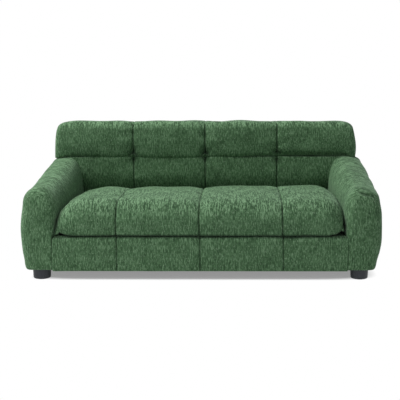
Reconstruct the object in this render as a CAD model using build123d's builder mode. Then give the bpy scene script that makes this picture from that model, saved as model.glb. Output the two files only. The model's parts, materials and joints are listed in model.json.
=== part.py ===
from build123d import *
import math
import os

# Pet sofa with two padded arms, a backrest and a lift-out seat cushion.
# Millimetres, +Z up, the sofa faces -Y. The origin is on the floor under the middle of the sofa.

# Overall sizes
overall_width = 1200
overall_depth = 640
overall_height = 520
floor_clearance = 33
arm_width = 116
back_end_setback = 23
seat_width = overall_width - 2 * arm_width
rear_cover_width = overall_width - 2 * back_end_setback
front_y = -overall_depth / 2
rear_y = overall_depth / 2

# Clearances and the overrun shared by all cuts
fit_gap = 0.3
thread_gap = 0.2
bolt_hole_gap = 0.5
overrun = 5

# Quilting shared by the cushion, the base front and the backrest
channel_pitch = 277
pillow_power = 4
end_cut_share = 0.08
inner_panel_shares = (0, 0.04, 0.12, 0.26, 0.5, 0.74, 0.88, 0.96, 1)
outer_panel_shares = (0, 0.06, 0.17, 0.38, 0.7)
round_end_shares = (1, 0.65, 0.4, 0.2, 0.07, 0)

# Boards
dust_sheet = 1
rail_thickness = 18
back_board = 22

# Seat base, between the arms
base_half_width = seat_width / 2 - fit_gap
base_frame_inset = 20
base_frame_front = front_y + base_frame_inset
deck_height = 146
deck_cover_thickness = 3
deck_thickness = 6
base_bottom = floor_clearance + dust_sheet
deck_bottom = deck_height - deck_cover_thickness - deck_thickness
cross_rail_height = 60
cross_rail_pitch = 232
corner_block_leg = 58

# Upholstered front of the base
front_pad_radius = 9
front_pad_swell = 2
front_pad_seam_depth = 4
front_pad_end_radius = 9
front_pad_wadding = 8

# Seat cushion
cushion_side_gap = 5
cushion_thickness = 122
cushion_front_setback = 2
cushion_crown = 13
cushion_swell = 4
cushion_top_radius = 54
cushion_low_radius = 9
cushion_rear_top_radius = 26
cushion_rear_low_radius = 5
cushion_seam_depth = 9
cushion_front_seam_depth = 5
cushion_end_radius = 38
cushion_wadding = 17
cushion_end_wadding = 20
cushion_lift_gap = 4
cushion_width = seat_width - 2 * cushion_side_gap
cushion_front = front_y + cushion_front_setback
cushion_bottom = deck_height + fit_gap
cushion_top = cushion_bottom + cushion_thickness

# Backrest: the roll on top, the lower pad under it, and the frame they hide
roll_end_overhang = 2.5
roll_depth = 162
roll_height = 138
roll_low_radius = 30
roll_front_radius = 36
roll_rear_radius = 40
roll_rear_low_radius = 6
roll_crown = 3
roll_swell = 5
roll_seam_depth = 6
roll_front_seam_depth = 9
roll_end_radius = 34
roll_wadding = 18
roll_width = rear_cover_width + 2 * roll_end_overhang
roll_bottom = overall_height - roll_height
roll_front = rear_y - roll_depth

lower_back_depth = 132
lower_pad_bottom = 190
lower_pad_radius = 13
lower_pad_top_radius = 8
lower_pad_swell = 3
lower_pad_seam_depth = 6
lower_pad_end_radius = 12
lower_pad_wadding = 11
lower_pad_front = rear_y - lower_back_depth

back_frame_depth = 60
back_rear_padding = 34
back_frame_end_padding = 17
back_frame_half_width = rear_cover_width / 2 - back_frame_end_padding
back_frame_rear = rear_y - back_rear_padding
back_frame_front = back_frame_rear - back_frame_depth
back_top_padding = 36
back_frame_top = overall_height - back_top_padding
back_panel_thickness = 5
back_panel_front = back_frame_front - back_panel_thickness
back_lower_rail_height = 74
mid_rail_drop = 2
lower_pad_end_padding = 25
lower_pad_room = rear_cover_width / 2 - lower_pad_end_padding
panel_half_width = lower_pad_room - fit_gap
rear_corner_radius = 28
rear_edge_radius = 8

# Arms: sizes of the right arm, its profile seen from the front
arm_inner_x = seat_width / 2
arm_front_height = 300
arm_rear_height = 380
arm_front_radius = 60
arm_front_cut_share = 0.04
arm_front_shares = (0, 0.05, 0.14, 0.28, 0.46, 0.7, 1)
arm_crest_inset = 46
arm_inner_drop = 60
arm_outer_drop = 45
arm_belly_swell = 8
arm_low_radius = 25
arm_foot_width = 95
arm_inner_skin = 6
arm_wadding = 12
arm_wadding_step = 34
arm_front_drop = 20
arm_front_tuck = 9
arm_rear_wall = 10
arm_inner_draw_share = 0.15
arm_outer_draw_share = 0.4
arm_rear = lower_pad_front - fit_gap
arm_belly_x = overall_width / 2
arm_side_x = arm_belly_x - arm_belly_swell

arm_panel = 9
arm_outer_board = 3
arm_frame_inner = arm_inner_x + arm_inner_skin
arm_frame_width = 66
arm_frame_setback = 24
arm_frame_drop = 55
arm_frame_outer = arm_frame_inner + arm_frame_width
arm_frame_front = front_y + arm_frame_setback
arm_frame_rear = arm_rear - arm_rear_wall - fit_gap
arm_post_depth = 55
arm_top_rail_height = 20

# Feet
foot_top_radius = 30
foot_bottom_radius = 28.5
foot_edge_radius = 6
foot_glide_radius = 20
foot_glide_thickness = 3
foot_glide_recess = 2
foot_stud_depth = 20
front_foot_setback = 35
front_foot_inset = 49
rear_foot_spare = 3.5

# Fasteners
bolt_radius = 4
bolt_length = 52
bolt_head_radius = 7
bolt_head_height = 5
washer_radius = 9
washer_thickness = 1.6
washer_bore_gap = 0.3
tee_flange_radius = 9.5
tee_flange_thickness = 1.5
tee_barrel_radius = 5.5
tee_barrel_length = 8
stud_length = 46
screw_radius = 2
screw_length = 50
screw_head_radius = 4
screw_head_height = 2.5
bolt_margin = 24
arm_bolt_heights = (76, 116)
back_bolt_height = 95
inner_back_bolt_x = 120
base_screw_heights = (58, 112)
back_screw_inset = 15

# Zip on the rear boxing of the cushion
zip_end_gap = 49
zip_height = 168
zip_tape_width = 26
zip_tape_thickness = 0.8
zip_coil_width = 5
zip_coil_thickness = 1.2
slider_length = 14
slider_width = 12
slider_plate = 1
bridge_width = 3
bridge_wall = 0.8
bridge_room = 1
pull_wire = 1.2
pull_arm_gap = 0.5
pull_arm_width = 1.4
pull_length = 23
pull_width = 8
pull_eye_radius = 1.6


def save(piece, name):
    """Label a finished piece and write it under its name."""
    piece.part.label = name
    export_step(piece.part, f"parts/{name}.step")


def save_pair(piece, name):
    """Write a right-hand piece and its mirror image."""
    save(piece, f"right_{name}")
    with BuildPart() as left_piece:
        mirror(piece.part, about=Plane.YZ)
    save(left_piece, f"left_{name}")


def both_sides(places):
    """The places and their mirror images across the middle of the sofa."""
    return [(side * x, other) for side in (-1, 1) for x, other in places]


def centred(middle, width):
    """Limits of a span about its middle."""
    return (middle - width / 2, middle + width / 2)


def block(x_span, y_span, z_span, mode=Mode.ADD):
    """A box between two limits on each axis."""
    with BuildSketch(Plane.XY.offset(z_span[0])) as outline:
        with Locations(((x_span[0] + x_span[1]) / 2, (y_span[0] + y_span[1]) / 2)):
            Rectangle(x_span[1] - x_span[0], y_span[1] - y_span[0])
    extrude(outline.sketch, amount=z_span[1] - z_span[0], mode=mode)


def discs(plane, places, radius, thickness, mode=Mode.ADD):
    """Round bars or holes that start on a plane."""
    with BuildSketch(plane) as outline:
        with Locations(*places):
            Circle(radius)
    extrude(outline.sketch, amount=thickness, mode=mode)


def sloped_board(x_span, y_span, low, high, mode=Mode.ADD):
    """A board whose lower and upper edges follow two heights given along the depth."""
    front, rear = y_span
    with BuildSketch(Plane.YZ.offset(x_span[0])) as profile:
        with BuildLine():
            Polyline(
                (front, low(front)),
                (rear, low(rear)),
                (rear, high(rear)),
                (front, high(front)),
                close=True,
            )
        make_face()
    extrude(profile.sketch, amount=x_span[1] - x_span[0], mode=mode)


def corner(start, end, bulge_to):
    """A quarter turn from start to end that bows towards the corner point bulge_to, if it has any size."""
    if start == end:
        return
    bow = math.sqrt(0.5)
    middle = tuple(c + (a + b - 2 * c) * (1 - bow) for a, b, c in zip(start, end, bulge_to))
    ThreePointArc(start, middle, end)


def pad_outline(pad, top_inset, front_inset):
    """Profile of a quilted pad across its depth, drawn in at the top and the front."""
    front = pad["front"] + pad["swell"] + front_inset
    rear = pad["rear"]
    bottom = pad["bottom"]
    shoulder = pad["top"] - pad["crown"] - top_inset
    face_low = (front, bottom + pad["low_radius"])
    face_high = (front, shoulder - pad["top_radius"])
    crown_front = (front + pad["top_radius"], shoulder)
    crown_rear = (rear - pad["rear_top_radius"], shoulder)
    rear_high = (rear, shoulder - pad["rear_top_radius"])
    rear_low = (rear, bottom + pad["rear_low_radius"])
    base_rear = (rear - pad["rear_low_radius"], bottom)
    base_front = (front + pad["low_radius"], bottom)
    face_middle = (front - pad["swell"], (face_low[1] + face_high[1]) / 2)
    crown_middle = ((crown_front[0] + crown_rear[0]) / 2, shoulder + pad["crown"])
    Line(base_rear, base_front)
    corner(base_front, face_low, (front, bottom))
    ThreePointArc(face_low, face_middle, face_high)
    corner(face_high, crown_front, (front, shoulder))
    if pad["crown"]:
        ThreePointArc(crown_front, crown_middle, crown_rear)
    else:
        Line(crown_front, crown_rear)
    corner(crown_rear, rear_high, (rear, shoulder))
    Line(rear_high, rear_low)
    corner(rear_low, base_rear, (rear, bottom))


def round_inset(distance, radius, cut_share):
    """How far a rounded end draws in at a distance from the end."""
    left_over = max(0, 1 - cut_share - distance / radius)
    return radius * (1 - math.sqrt(1 - left_over ** 2))


def quilted_pad(pad):
    """Right half of a pad as two panels between seams, with a rounded end, then its mirror image."""
    end_x = pad["half_width"]
    round_start = end_x - pad["end_radius"]
    inner_stations = [share * channel_pitch for share in inner_panel_shares]
    outer_stations = [channel_pitch + share * (round_start - channel_pitch) for share in outer_panel_shares]
    outer_stations += [end_x - share * pad["end_radius"] for share in round_end_shares]
    with BuildPart() as form:
        for low_x, high_x, stations in (
            (0, channel_pitch, inner_stations),
            (channel_pitch, 2 * end_x - channel_pitch, outer_stations),
        ):
            for x in stations:
                away = abs(2 * (x - low_x) / (high_x - low_x) - 1) ** pillow_power
                end_inset = round_inset(end_x - x, pad["end_radius"], end_cut_share)
                with BuildSketch(Plane.YZ.offset(x)):
                    with BuildLine():
                        pad_outline(
                            pad,
                            pad["seam_depth"] * away + end_inset,
                            pad["front_seam_depth"] * away + end_inset,
                        )
                    make_face()
            loft(ruled=True)
        mirror(about=Plane.YZ)
    return form.part


def plain_pad(pad, wadding, rear):
    """Block inside a quilted pad: the pad's own profile less its wadding, up to a rear face of its own."""
    inner = dict(pad, rear=rear, bottom=pad["bottom"] + wadding)
    with BuildPart() as form:
        with BuildSketch(Plane.YZ.offset(wadding - pad["half_width"])):
            with BuildLine():
                pad_outline(inner, wadding, wadding)
            make_face()
        extrude(amount=2 * (pad["half_width"] - wadding))
    return form.part


def arm_top(y):
    """Height of the arm's crest at a depth, on the straight slope from front to back."""
    slope_start = front_y + arm_front_radius
    slope = (arm_rear_height - arm_front_height) / (arm_rear - slope_start)
    return arm_front_height + slope * (y - slope_start)


def arm_frame_top(y):
    """Height of the arm frame's upper edge at a depth."""
    return arm_top(y) - arm_frame_drop


def arm_outline(y, inner_inset, top_inset, outer_inset, bottom):
    """Profile of the right arm at a depth, drawn in on its inner side, top and outer side."""
    crest = arm_top(y)
    inner_x = arm_inner_x + inner_inset
    side_x = arm_side_x - outer_inset
    foot_x = arm_inner_x + arm_foot_width - outer_inset
    crest_point = (arm_inner_x + arm_crest_inset, crest - top_inset)
    inner_low = (inner_x, bottom)
    inner_high = (inner_x, crest - arm_inner_drop)
    outer_high = (side_x, crest - arm_outer_drop)
    outer_low = (side_x, floor_clearance + arm_low_radius)
    foot_outer = (foot_x, bottom)
    Line(inner_low, inner_high)
    corner(inner_high, crest_point, (inner_x, crest - top_inset))
    corner(crest_point, outer_high, (side_x, crest - top_inset))
    ThreePointArc(outer_high, (arm_belly_x - outer_inset, (outer_high[1] + outer_low[1]) / 2), outer_low)
    corner(outer_low, foot_outer, (side_x, bottom))
    Line(foot_outer, inner_low)


def top_rail_foot(y):
    """Height of the top rail's underside at a depth."""
    return arm_frame_top(y) - arm_top_rail_height


def at_height(height):
    """A level edge, as a height that doesn't change with depth."""
    return lambda y: height


def arm_block(wadding, skin, rear, bottom):
    """Plain body inside the arm's cover, its profile less the wadding and drawn in further at its front."""
    stations = (
        (front_y + wadding, arm_front_drop, arm_front_tuck),
        (front_y + arm_wadding_step, 0, 0),
        (rear, 0, 0),
    )
    with BuildPart() as form:
        for y, drop, tuck in stations:
            with BuildSketch(Plane.XZ.offset(-y)):
                with BuildLine():
                    arm_outline(y, skin + tuck, wadding + drop, wadding + tuck, bottom)
                make_face()
        loft(ruled=True)
    return form.part


def frame_room(inner_x):
    """Room for the arm's frame, from an inner face outwards."""
    with BuildPart() as room:
        sloped_board(
            (inner_x, arm_frame_outer + fit_gap),
            (arm_frame_front - fit_gap, arm_frame_rear + fit_gap),
            at_height(0),
            lambda y: arm_frame_top(y) + fit_gap,
        )
    return room.part


os.makedirs("parts", exist_ok=True)

base_span = (-base_half_width, base_half_width)
base_frame_span = (base_frame_front, back_panel_front)
side_rail_span = (base_frame_front + rail_thickness, back_panel_front - rail_thickness)
board_span = (base_bottom, deck_bottom)
side_rail_x = base_half_width - rail_thickness
bolt_hole_radius = bolt_radius + bolt_hole_gap
tee_hole_radius = tee_barrel_radius + bolt_hole_gap
screw_hole_radius = screw_radius + thread_gap
screw_seat_radius = screw_head_radius + thread_gap
side_screw_x = base_half_width - rail_thickness / 2
base_screws = both_sides([(side_screw_x, height) for height in base_screw_heights])
outer_back_bolt_x = side_rail_x - corner_block_leg - bolt_margin
back_bolts = both_sides([(x, back_bolt_height) for x in (inner_back_bolt_x, outer_back_bolt_x)])
arm_bolt_depths = (
    side_rail_span[0] + corner_block_leg + bolt_margin,
    arm_frame_rear - arm_post_depth - bolt_margin,
)
arm_bolts = [(y, z) for y in arm_bolt_depths for z in arm_bolt_heights]
screw_tip_front = base_frame_front + screw_length
screw_tip_rear = back_panel_front - screw_length
back_screw_rows = (back_frame_front + back_screw_inset, back_frame_rear - back_screw_inset)
post_centre_x = back_frame_half_width - back_board / 2
back_screws = [(x, y) for x in (-post_centre_x, 0, post_centre_x) for y in back_screw_rows]
front_foot_y = front_y + front_foot_setback
lower_rail_rear = back_frame_front + back_board
rear_foot_y = (lower_rail_rear + back_frame_rear) / 2
rear_foot_x = back_frame_half_width - back_board - tee_flange_radius - rear_foot_spare
front_feet = both_sides([(arm_inner_x + front_foot_inset, front_foot_y)])
rear_feet = both_sides([(rear_foot_x, rear_foot_y)])

# Base frame: front and rear rails, side rails between them
with BuildPart() as base_front_rail:
    block(base_span, (base_frame_front, side_rail_span[0]), board_span)
    discs(
        Plane.XZ.offset(-base_frame_front),
        base_screws,
        screw_hole_radius,
        -rail_thickness,
        Mode.SUBTRACT,
    )
    discs(
        Plane.XZ.offset(-base_frame_front),
        base_screws,
        screw_seat_radius,
        -screw_head_height,
        Mode.SUBTRACT,
    )
save(base_front_rail, "base_front_rail")

with BuildPart() as base_rear_rail:
    block(base_span, (side_rail_span[1], back_panel_front), board_span)
    discs(Plane.XZ.offset(-back_panel_front), base_screws, screw_hole_radius, rail_thickness, Mode.SUBTRACT)
    discs(
        Plane.XZ.offset(-back_panel_front),
        base_screws,
        screw_seat_radius,
        screw_head_height,
        Mode.SUBTRACT,
    )
    discs(Plane.XZ.offset(-back_panel_front), back_bolts, bolt_hole_radius, rail_thickness, Mode.SUBTRACT)
save(base_rear_rail, "base_rear_rail")

with BuildPart() as base_right_rail:
    block((side_rail_x, base_half_width), side_rail_span, board_span)
    discs(
        Plane.XZ.offset(-side_rail_span[0]),
        base_screws,
        screw_hole_radius,
        side_rail_span[0] - screw_tip_front,
        Mode.SUBTRACT,
    )
    discs(
        Plane.XZ.offset(-side_rail_span[1]),
        base_screws,
        screw_hole_radius,
        side_rail_span[1] - screw_tip_rear,
        Mode.SUBTRACT,
    )
    discs(Plane.YZ.offset(side_rail_x), arm_bolts, bolt_hole_radius, rail_thickness, Mode.SUBTRACT)
save(base_right_rail, "base_right_rail")

with BuildPart() as base_left_rail:
    mirror(base_right_rail.part, about=Plane.YZ)
save(base_left_rail, "base_left_rail")

with BuildPart() as base_cross_rails:
    for x in (-cross_rail_pitch, 0, cross_rail_pitch):
        block(
            (x - rail_thickness / 2, x + rail_thickness / 2),
            side_rail_span,
            (deck_bottom - cross_rail_height, deck_bottom),
        )
save(base_cross_rails, "base_cross_rails")

with BuildPart() as base_corner_blocks:
    with BuildSketch(Plane.XY.offset(base_bottom)):
        for side in (-1, 1):
            for corner_y, inward in ((side_rail_span[0], 1), (side_rail_span[1], -1)):
                with BuildLine():
                    Polyline(
                        (side * side_rail_x, corner_y),
                        (side * (side_rail_x - corner_block_leg), corner_y),
                        (side * side_rail_x, corner_y + inward * corner_block_leg),
                        close=True,
                    )
                make_face()
    extrude(amount=deck_bottom - base_bottom)
save(base_corner_blocks, "base_corner_blocks")

# Deck that carries the cushion, its thin cover, and the dust sheet underneath
with BuildPart() as seat_deck:
    block(base_span, base_frame_span, (deck_bottom, deck_bottom + deck_thickness))
save(seat_deck, "seat_deck")

with BuildPart() as deck_cover:
    block(base_span, base_frame_span, (deck_height - deck_cover_thickness, deck_height))
save(deck_cover, "deck_cover")

with BuildPart() as base_dust_cover:
    block(base_span, base_frame_span, (floor_clearance, base_bottom))
save(base_dust_cover, "base_dust_cover")

# Upholstered front of the base: a quilted cover over a thin foam
front_pad = {
    "half_width": base_half_width,
    "front": front_y,
    "rear": base_frame_front - fit_gap,
    "bottom": floor_clearance,
    "top": deck_height - fit_gap,
    "crown": 0,
    "swell": front_pad_swell,
    "low_radius": front_pad_radius,
    "top_radius": front_pad_radius,
    "rear_top_radius": 0,
    "rear_low_radius": 0,
    "seam_depth": 0,
    "front_seam_depth": front_pad_seam_depth,
    "end_radius": front_pad_end_radius,
}
with BuildPart() as base_front_foam:
    add(plain_pad(front_pad, front_pad_wadding, front_pad["rear"]))
save(base_front_foam, "base_front_foam")

with BuildPart() as base_front_cover:
    add(quilted_pad(front_pad))
    add(plain_pad(front_pad, front_pad_wadding - fit_gap, front_pad["rear"] + overrun), mode=Mode.SUBTRACT)
save(base_front_cover, "base_front_cover")

# Seat cushion: a loose quilted cover with its zip along the rear, round a foam core
cushion_rear = lower_pad_front - cushion_lift_gap
cushion = {
    "half_width": cushion_width / 2,
    "front": cushion_front,
    "rear": cushion_rear,
    "bottom": cushion_bottom,
    "top": cushion_top,
    "crown": cushion_crown,
    "swell": cushion_swell,
    "low_radius": cushion_low_radius,
    "top_radius": cushion_top_radius,
    "rear_top_radius": cushion_rear_top_radius,
    "rear_low_radius": cushion_rear_low_radius,
    "seam_depth": cushion_seam_depth,
    "front_seam_depth": cushion_front_seam_depth,
    "end_radius": cushion_end_radius,
}
core_pad = dict(cushion, half_width=cushion_width / 2 - cushion_end_wadding)
with BuildPart() as seat_cushion_core:
    add(plain_pad(core_pad, cushion_wadding, cushion_rear - cushion_wadding))
save(seat_cushion_core, "seat_cushion_core")

with BuildPart() as seat_cushion_cover:
    add(quilted_pad(cushion))
    add(
        plain_pad(core_pad, cushion_wadding - fit_gap, cushion_rear - cushion_wadding + fit_gap),
        mode=Mode.SUBTRACT,
    )
save(seat_cushion_cover, "seat_cushion_cover")

zip_length = cushion_width - 2 * zip_end_gap
tape_face = cushion_rear + zip_tape_thickness
coil_face = tape_face + zip_coil_thickness
plate_inner = coil_face + fit_gap
plate_outer = plate_inner + slider_plate
pull_axis_y = plate_outer + fit_gap + pull_wire / 2
bridge_inner = pull_axis_y + pull_wire / 2 + fit_gap
zip_span = (-zip_length / 2, zip_length / 2)
slider_x = zip_span[0] + slider_length / 2
bridge_reach = pull_wire / 2 + bridge_room
pull_arm_inner = bridge_width / 2 + pull_arm_gap
pull_arm_outer = pull_arm_inner + pull_arm_width
tab_start = bridge_reach + bridge_wall + pull_arm_gap

with BuildPart() as cushion_zip_tape:
    block(zip_span, (cushion_rear, tape_face), centred(zip_height, zip_tape_width))
    block(zip_span, (tape_face, coil_face), centred(zip_height, zip_coil_width))
save(cushion_zip_tape, "cushion_zip_tape")

with BuildPart() as zip_slider:
    block(
        centred(slider_x, slider_length),
        (tape_face + fit_gap, plate_outer),
        centred(zip_height, slider_width),
    )
    block(
        centred(slider_x, slider_length + overrun),
        (tape_face, plate_inner),
        centred(zip_height, zip_coil_width + 2 * fit_gap),
        Mode.SUBTRACT,
    )
    block(
        centred(slider_x, 2 * (bridge_reach + bridge_wall)),
        (plate_outer, bridge_inner + bridge_wall),
        centred(zip_height, bridge_width),
    )
    block(
        centred(slider_x, 2 * bridge_reach),
        (plate_outer, bridge_inner),
        centred(zip_height, bridge_width + overrun),
        Mode.SUBTRACT,
    )
save(zip_slider, "zip_slider")

with BuildPart() as zip_pull:
    discs(
        Plane.XY.offset(zip_height - pull_arm_outer),
        [(slider_x, pull_axis_y)],
        pull_wire / 2,
        2 * pull_arm_outer,
    )
    for side in (-1, 1):
        block(
            (slider_x, slider_x + tab_start),
            centred(pull_axis_y, pull_wire),
            centred(zip_height + side * (pull_arm_inner + pull_arm_width / 2), pull_arm_width),
        )
    block(
        (slider_x + tab_start, slider_x + pull_length),
        centred(pull_axis_y, pull_wire),
        centred(zip_height, pull_width),
    )
    discs(
        Plane.XZ.offset(-pull_axis_y - pull_wire / 2),
        [(slider_x + pull_length - 2 * pull_eye_radius, zip_height)],
        pull_eye_radius,
        pull_wire,
        Mode.SUBTRACT,
    )
save(zip_pull, "zip_pull")

# Backrest frame: posts between a bottom and a top rail, with rails on edge and short rails between
post_span = (base_bottom + back_board, back_frame_top - back_board)
back_depth_span = (back_frame_front, back_frame_rear)
back_span = (-back_frame_half_width, back_frame_half_width)
post_inner_x = back_frame_half_width - back_board
mid_rail_top = roll_bottom - mid_rail_drop
panel_span = (-panel_half_width, panel_half_width)

with BuildPart() as back_right_post:
    block((post_inner_x, back_frame_half_width), back_depth_span, post_span)
    discs(
        Plane.XY.offset(post_span[1]),
        back_screws,
        screw_hole_radius,
        back_board - screw_length,
        Mode.SUBTRACT,
    )
    discs(
        Plane.XY.offset(post_span[0]),
        back_screws,
        screw_hole_radius,
        screw_length - back_board,
        Mode.SUBTRACT,
    )
save(back_right_post, "back_right_post")

with BuildPart() as back_left_post:
    mirror(back_right_post.part, about=Plane.YZ)
save(back_left_post, "back_left_post")

with BuildPart() as back_centre_post:
    block(centred(0, back_board), (lower_rail_rear, back_frame_rear), post_span)
    block(
        centred(0, back_board),
        back_depth_span,
        (base_bottom + back_board + back_lower_rail_height, post_span[1]),
    )
    discs(
        Plane.XY.offset(post_span[1]),
        back_screws,
        screw_hole_radius,
        back_board - screw_length,
        Mode.SUBTRACT,
    )
    discs(
        Plane.XY.offset(post_span[0]),
        back_screws,
        screw_hole_radius,
        screw_length - back_board,
        Mode.SUBTRACT,
    )
save(back_centre_post, "back_centre_post")

with BuildPart() as back_top_rail:
    block(back_span, back_depth_span, (post_span[1], back_frame_top))
    discs(Plane.XY.offset(back_frame_top), back_screws, screw_hole_radius, -back_board, Mode.SUBTRACT)
    discs(
        Plane.XY.offset(back_frame_top),
        back_screws,
        screw_seat_radius,
        -screw_head_height,
        Mode.SUBTRACT,
    )
save(back_top_rail, "back_top_rail")

with BuildPart() as back_bottom_rail:
    block(back_span, back_depth_span, (base_bottom, post_span[0]))
    discs(Plane.XY.offset(base_bottom), back_screws, screw_hole_radius, back_board, Mode.SUBTRACT)
    discs(Plane.XY.offset(base_bottom), back_screws, screw_seat_radius, screw_head_height, Mode.SUBTRACT)
    discs(Plane.XY.offset(base_bottom), rear_feet, tee_hole_radius, back_board, Mode.SUBTRACT)
save(back_bottom_rail, "back_bottom_rail")

with BuildPart() as back_lower_rail:
    block(
        (-post_inner_x, post_inner_x),
        (back_frame_front, lower_rail_rear),
        (post_span[0], post_span[0] + back_lower_rail_height),
    )
    discs(Plane.XZ.offset(-back_frame_front), back_bolts, tee_hole_radius, -back_board, Mode.SUBTRACT)
    discs(
        Plane.XY.offset(post_span[0]),
        back_screws,
        screw_hole_radius,
        screw_length - back_board,
        Mode.SUBTRACT,
    )
save(back_lower_rail, "back_lower_rail")

with BuildPart() as back_mid_rails:
    for side in (-1, 1):
        block(
            sorted((side * back_board / 2, side * post_inner_x)),
            back_depth_span,
            (mid_rail_top - back_board, mid_rail_top),
        )
save(back_mid_rails, "back_mid_rails")

with BuildPart() as back_front_panel:
    block(panel_span, (back_panel_front, back_frame_front), (base_bottom, mid_rail_top))
    discs(
        Plane.XZ.offset(-back_panel_front),
        back_bolts,
        bolt_hole_radius,
        -back_panel_thickness,
        Mode.SUBTRACT,
    )
save(back_front_panel, "back_front_panel")

with BuildPart() as back_dust_cover:
    block(panel_span, (lower_pad_front, back_frame_front), (floor_clearance, base_bottom))
    block(base_span, (lower_pad_front, back_panel_front), (floor_clearance, base_bottom), Mode.SUBTRACT)
    block(back_span, back_depth_span, (floor_clearance, base_bottom))
    discs(Plane.XY.offset(floor_clearance), rear_feet, tee_hole_radius, dust_sheet, Mode.SUBTRACT)
save(back_dust_cover, "back_dust_cover")

# Upper roll of the backrest: it caps the frame, overhangs the lower pad and ends in round corners
roll = {
    "half_width": roll_width / 2,
    "front": roll_front,
    "rear": rear_y,
    "bottom": roll_bottom,
    "top": overall_height,
    "crown": roll_crown,
    "swell": roll_swell,
    "low_radius": roll_low_radius,
    "top_radius": roll_front_radius,
    "rear_top_radius": roll_rear_radius,
    "rear_low_radius": roll_rear_low_radius,
    "seam_depth": roll_seam_depth,
    "front_seam_depth": roll_front_seam_depth,
    "end_radius": roll_end_radius,
}
frame_room_x = (-back_frame_half_width - fit_gap, back_frame_half_width + fit_gap)
frame_room_y = (back_frame_front - fit_gap, back_frame_rear + fit_gap)
roll_room = (frame_room_x, frame_room_y, (roll_bottom - overrun, back_frame_top + fit_gap))
with BuildPart() as back_roll_foam:
    add(plain_pad(roll, roll_wadding, rear_y - roll_wadding))
    block(*roll_room, Mode.SUBTRACT)
save(back_roll_foam, "back_roll_foam")

with BuildPart() as back_roll_cover:
    add(quilted_pad(roll))
    add(plain_pad(roll, roll_wadding - fit_gap, rear_y - roll_wadding + fit_gap), mode=Mode.SUBTRACT)
    block(*roll_room, Mode.SUBTRACT)
save(back_roll_cover, "back_roll_cover")

# Lower pad of the backrest, behind the arms and under the roll; its foot is rounded over the cushion's zip
lower_pad = {
    "half_width": panel_half_width,
    "front": lower_pad_front,
    "rear": back_panel_front - fit_gap,
    "bottom": lower_pad_bottom,
    "top": roll_bottom - fit_gap,
    "crown": 0,
    "swell": lower_pad_swell,
    "low_radius": lower_pad_radius,
    "top_radius": lower_pad_top_radius,
    "rear_top_radius": 0,
    "rear_low_radius": 0,
    "seam_depth": 0,
    "front_seam_depth": lower_pad_seam_depth,
    "end_radius": lower_pad_end_radius,
}
with BuildPart() as back_lower_foam:
    add(plain_pad(lower_pad, lower_pad_wadding, lower_pad["rear"]))
save(back_lower_foam, "back_lower_foam")

with BuildPart() as back_lower_cover:
    add(quilted_pad(lower_pad))
    add(plain_pad(lower_pad, lower_pad_wadding - fit_gap, lower_pad["rear"] + overrun), mode=Mode.SUBTRACT)
save(back_lower_cover, "back_lower_cover")

# Padded rear and ends of the backrest, below the roll
with BuildPart() as back_rear_cover:
    with BuildSketch(Plane.XY.offset(floor_clearance)) as rear_plan:
        with Locations((0, (lower_pad_front + rear_y) / 2 - overrun)):
            Rectangle(rear_cover_width, rear_y - lower_pad_front + 2 * overrun)
        fillet(rear_plan.vertices().group_by(Axis.Y)[-1], radius=rear_corner_radius)
    extrude(amount=roll_bottom - fit_gap - floor_clearance)
    flat_edges = back_rear_cover.edges().filter_by(Plane.XY)
    fillet(flat_edges.group_by(Axis.Z)[0] + flat_edges.group_by(Axis.Z)[-1], radius=rear_edge_radius)
    block(
        (-rear_cover_width, rear_cover_width),
        (front_y, lower_pad_front),
        (0, overall_height),
        Mode.SUBTRACT,
    )
    block(
        (-lower_pad_room, lower_pad_room),
        (front_y, back_frame_front),
        (0, overall_height),
        Mode.SUBTRACT,
    )
    block(frame_room_x, frame_room_y, (0, overall_height), Mode.SUBTRACT)
save(back_rear_cover, "back_rear_cover")

# Arm frame: plywood inside, hardboard outside, boards between them
bottom_rail_top = base_bottom + back_board
board_x = (arm_frame_inner + arm_panel, arm_frame_outer - arm_outer_board)
post_x = (board_x[0], board_x[0] + back_board)
arm_depth_span = (arm_frame_front, arm_frame_rear)

with BuildPart() as arm_inner_panel:
    sloped_board((arm_frame_inner, board_x[0]), arm_depth_span, at_height(base_bottom), arm_frame_top)
    discs(Plane.YZ.offset(arm_frame_inner), arm_bolts, tee_hole_radius, arm_panel, Mode.SUBTRACT)
save_pair(arm_inner_panel, "arm_inner_panel")

with BuildPart() as arm_outer_panel:
    sloped_board((board_x[1], arm_frame_outer), arm_depth_span, at_height(base_bottom), arm_frame_top)
save_pair(arm_outer_panel, "arm_outer_panel")

with BuildPart() as arm_front_post:
    sloped_board(
        post_x,
        (arm_frame_front, arm_frame_front + arm_post_depth),
        at_height(bottom_rail_top),
        top_rail_foot,
    )
save_pair(arm_front_post, "arm_front_post")

with BuildPart() as arm_rear_post:
    sloped_board(
        post_x,
        (arm_frame_rear - arm_post_depth, arm_frame_rear),
        at_height(bottom_rail_top),
        top_rail_foot,
    )
save_pair(arm_rear_post, "arm_rear_post")

with BuildPart() as arm_top_rail:
    sloped_board(board_x, arm_depth_span, top_rail_foot, arm_frame_top)
save_pair(arm_top_rail, "arm_top_rail")

with BuildPart() as arm_bottom_rail:
    block(board_x, arm_depth_span, (base_bottom, bottom_rail_top))
    discs(Plane.XY.offset(base_bottom), front_feet, tee_hole_radius, back_board, Mode.SUBTRACT)
save_pair(arm_bottom_rail, "arm_bottom_rail")

with BuildPart() as arm_dust_cover:
    block((arm_frame_inner, arm_frame_outer), arm_depth_span, (floor_clearance, base_bottom))
    discs(Plane.XY.offset(floor_clearance), front_feet, tee_hole_radius, dust_sheet, Mode.SUBTRACT)
save_pair(arm_dust_cover, "arm_dust_cover")

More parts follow.
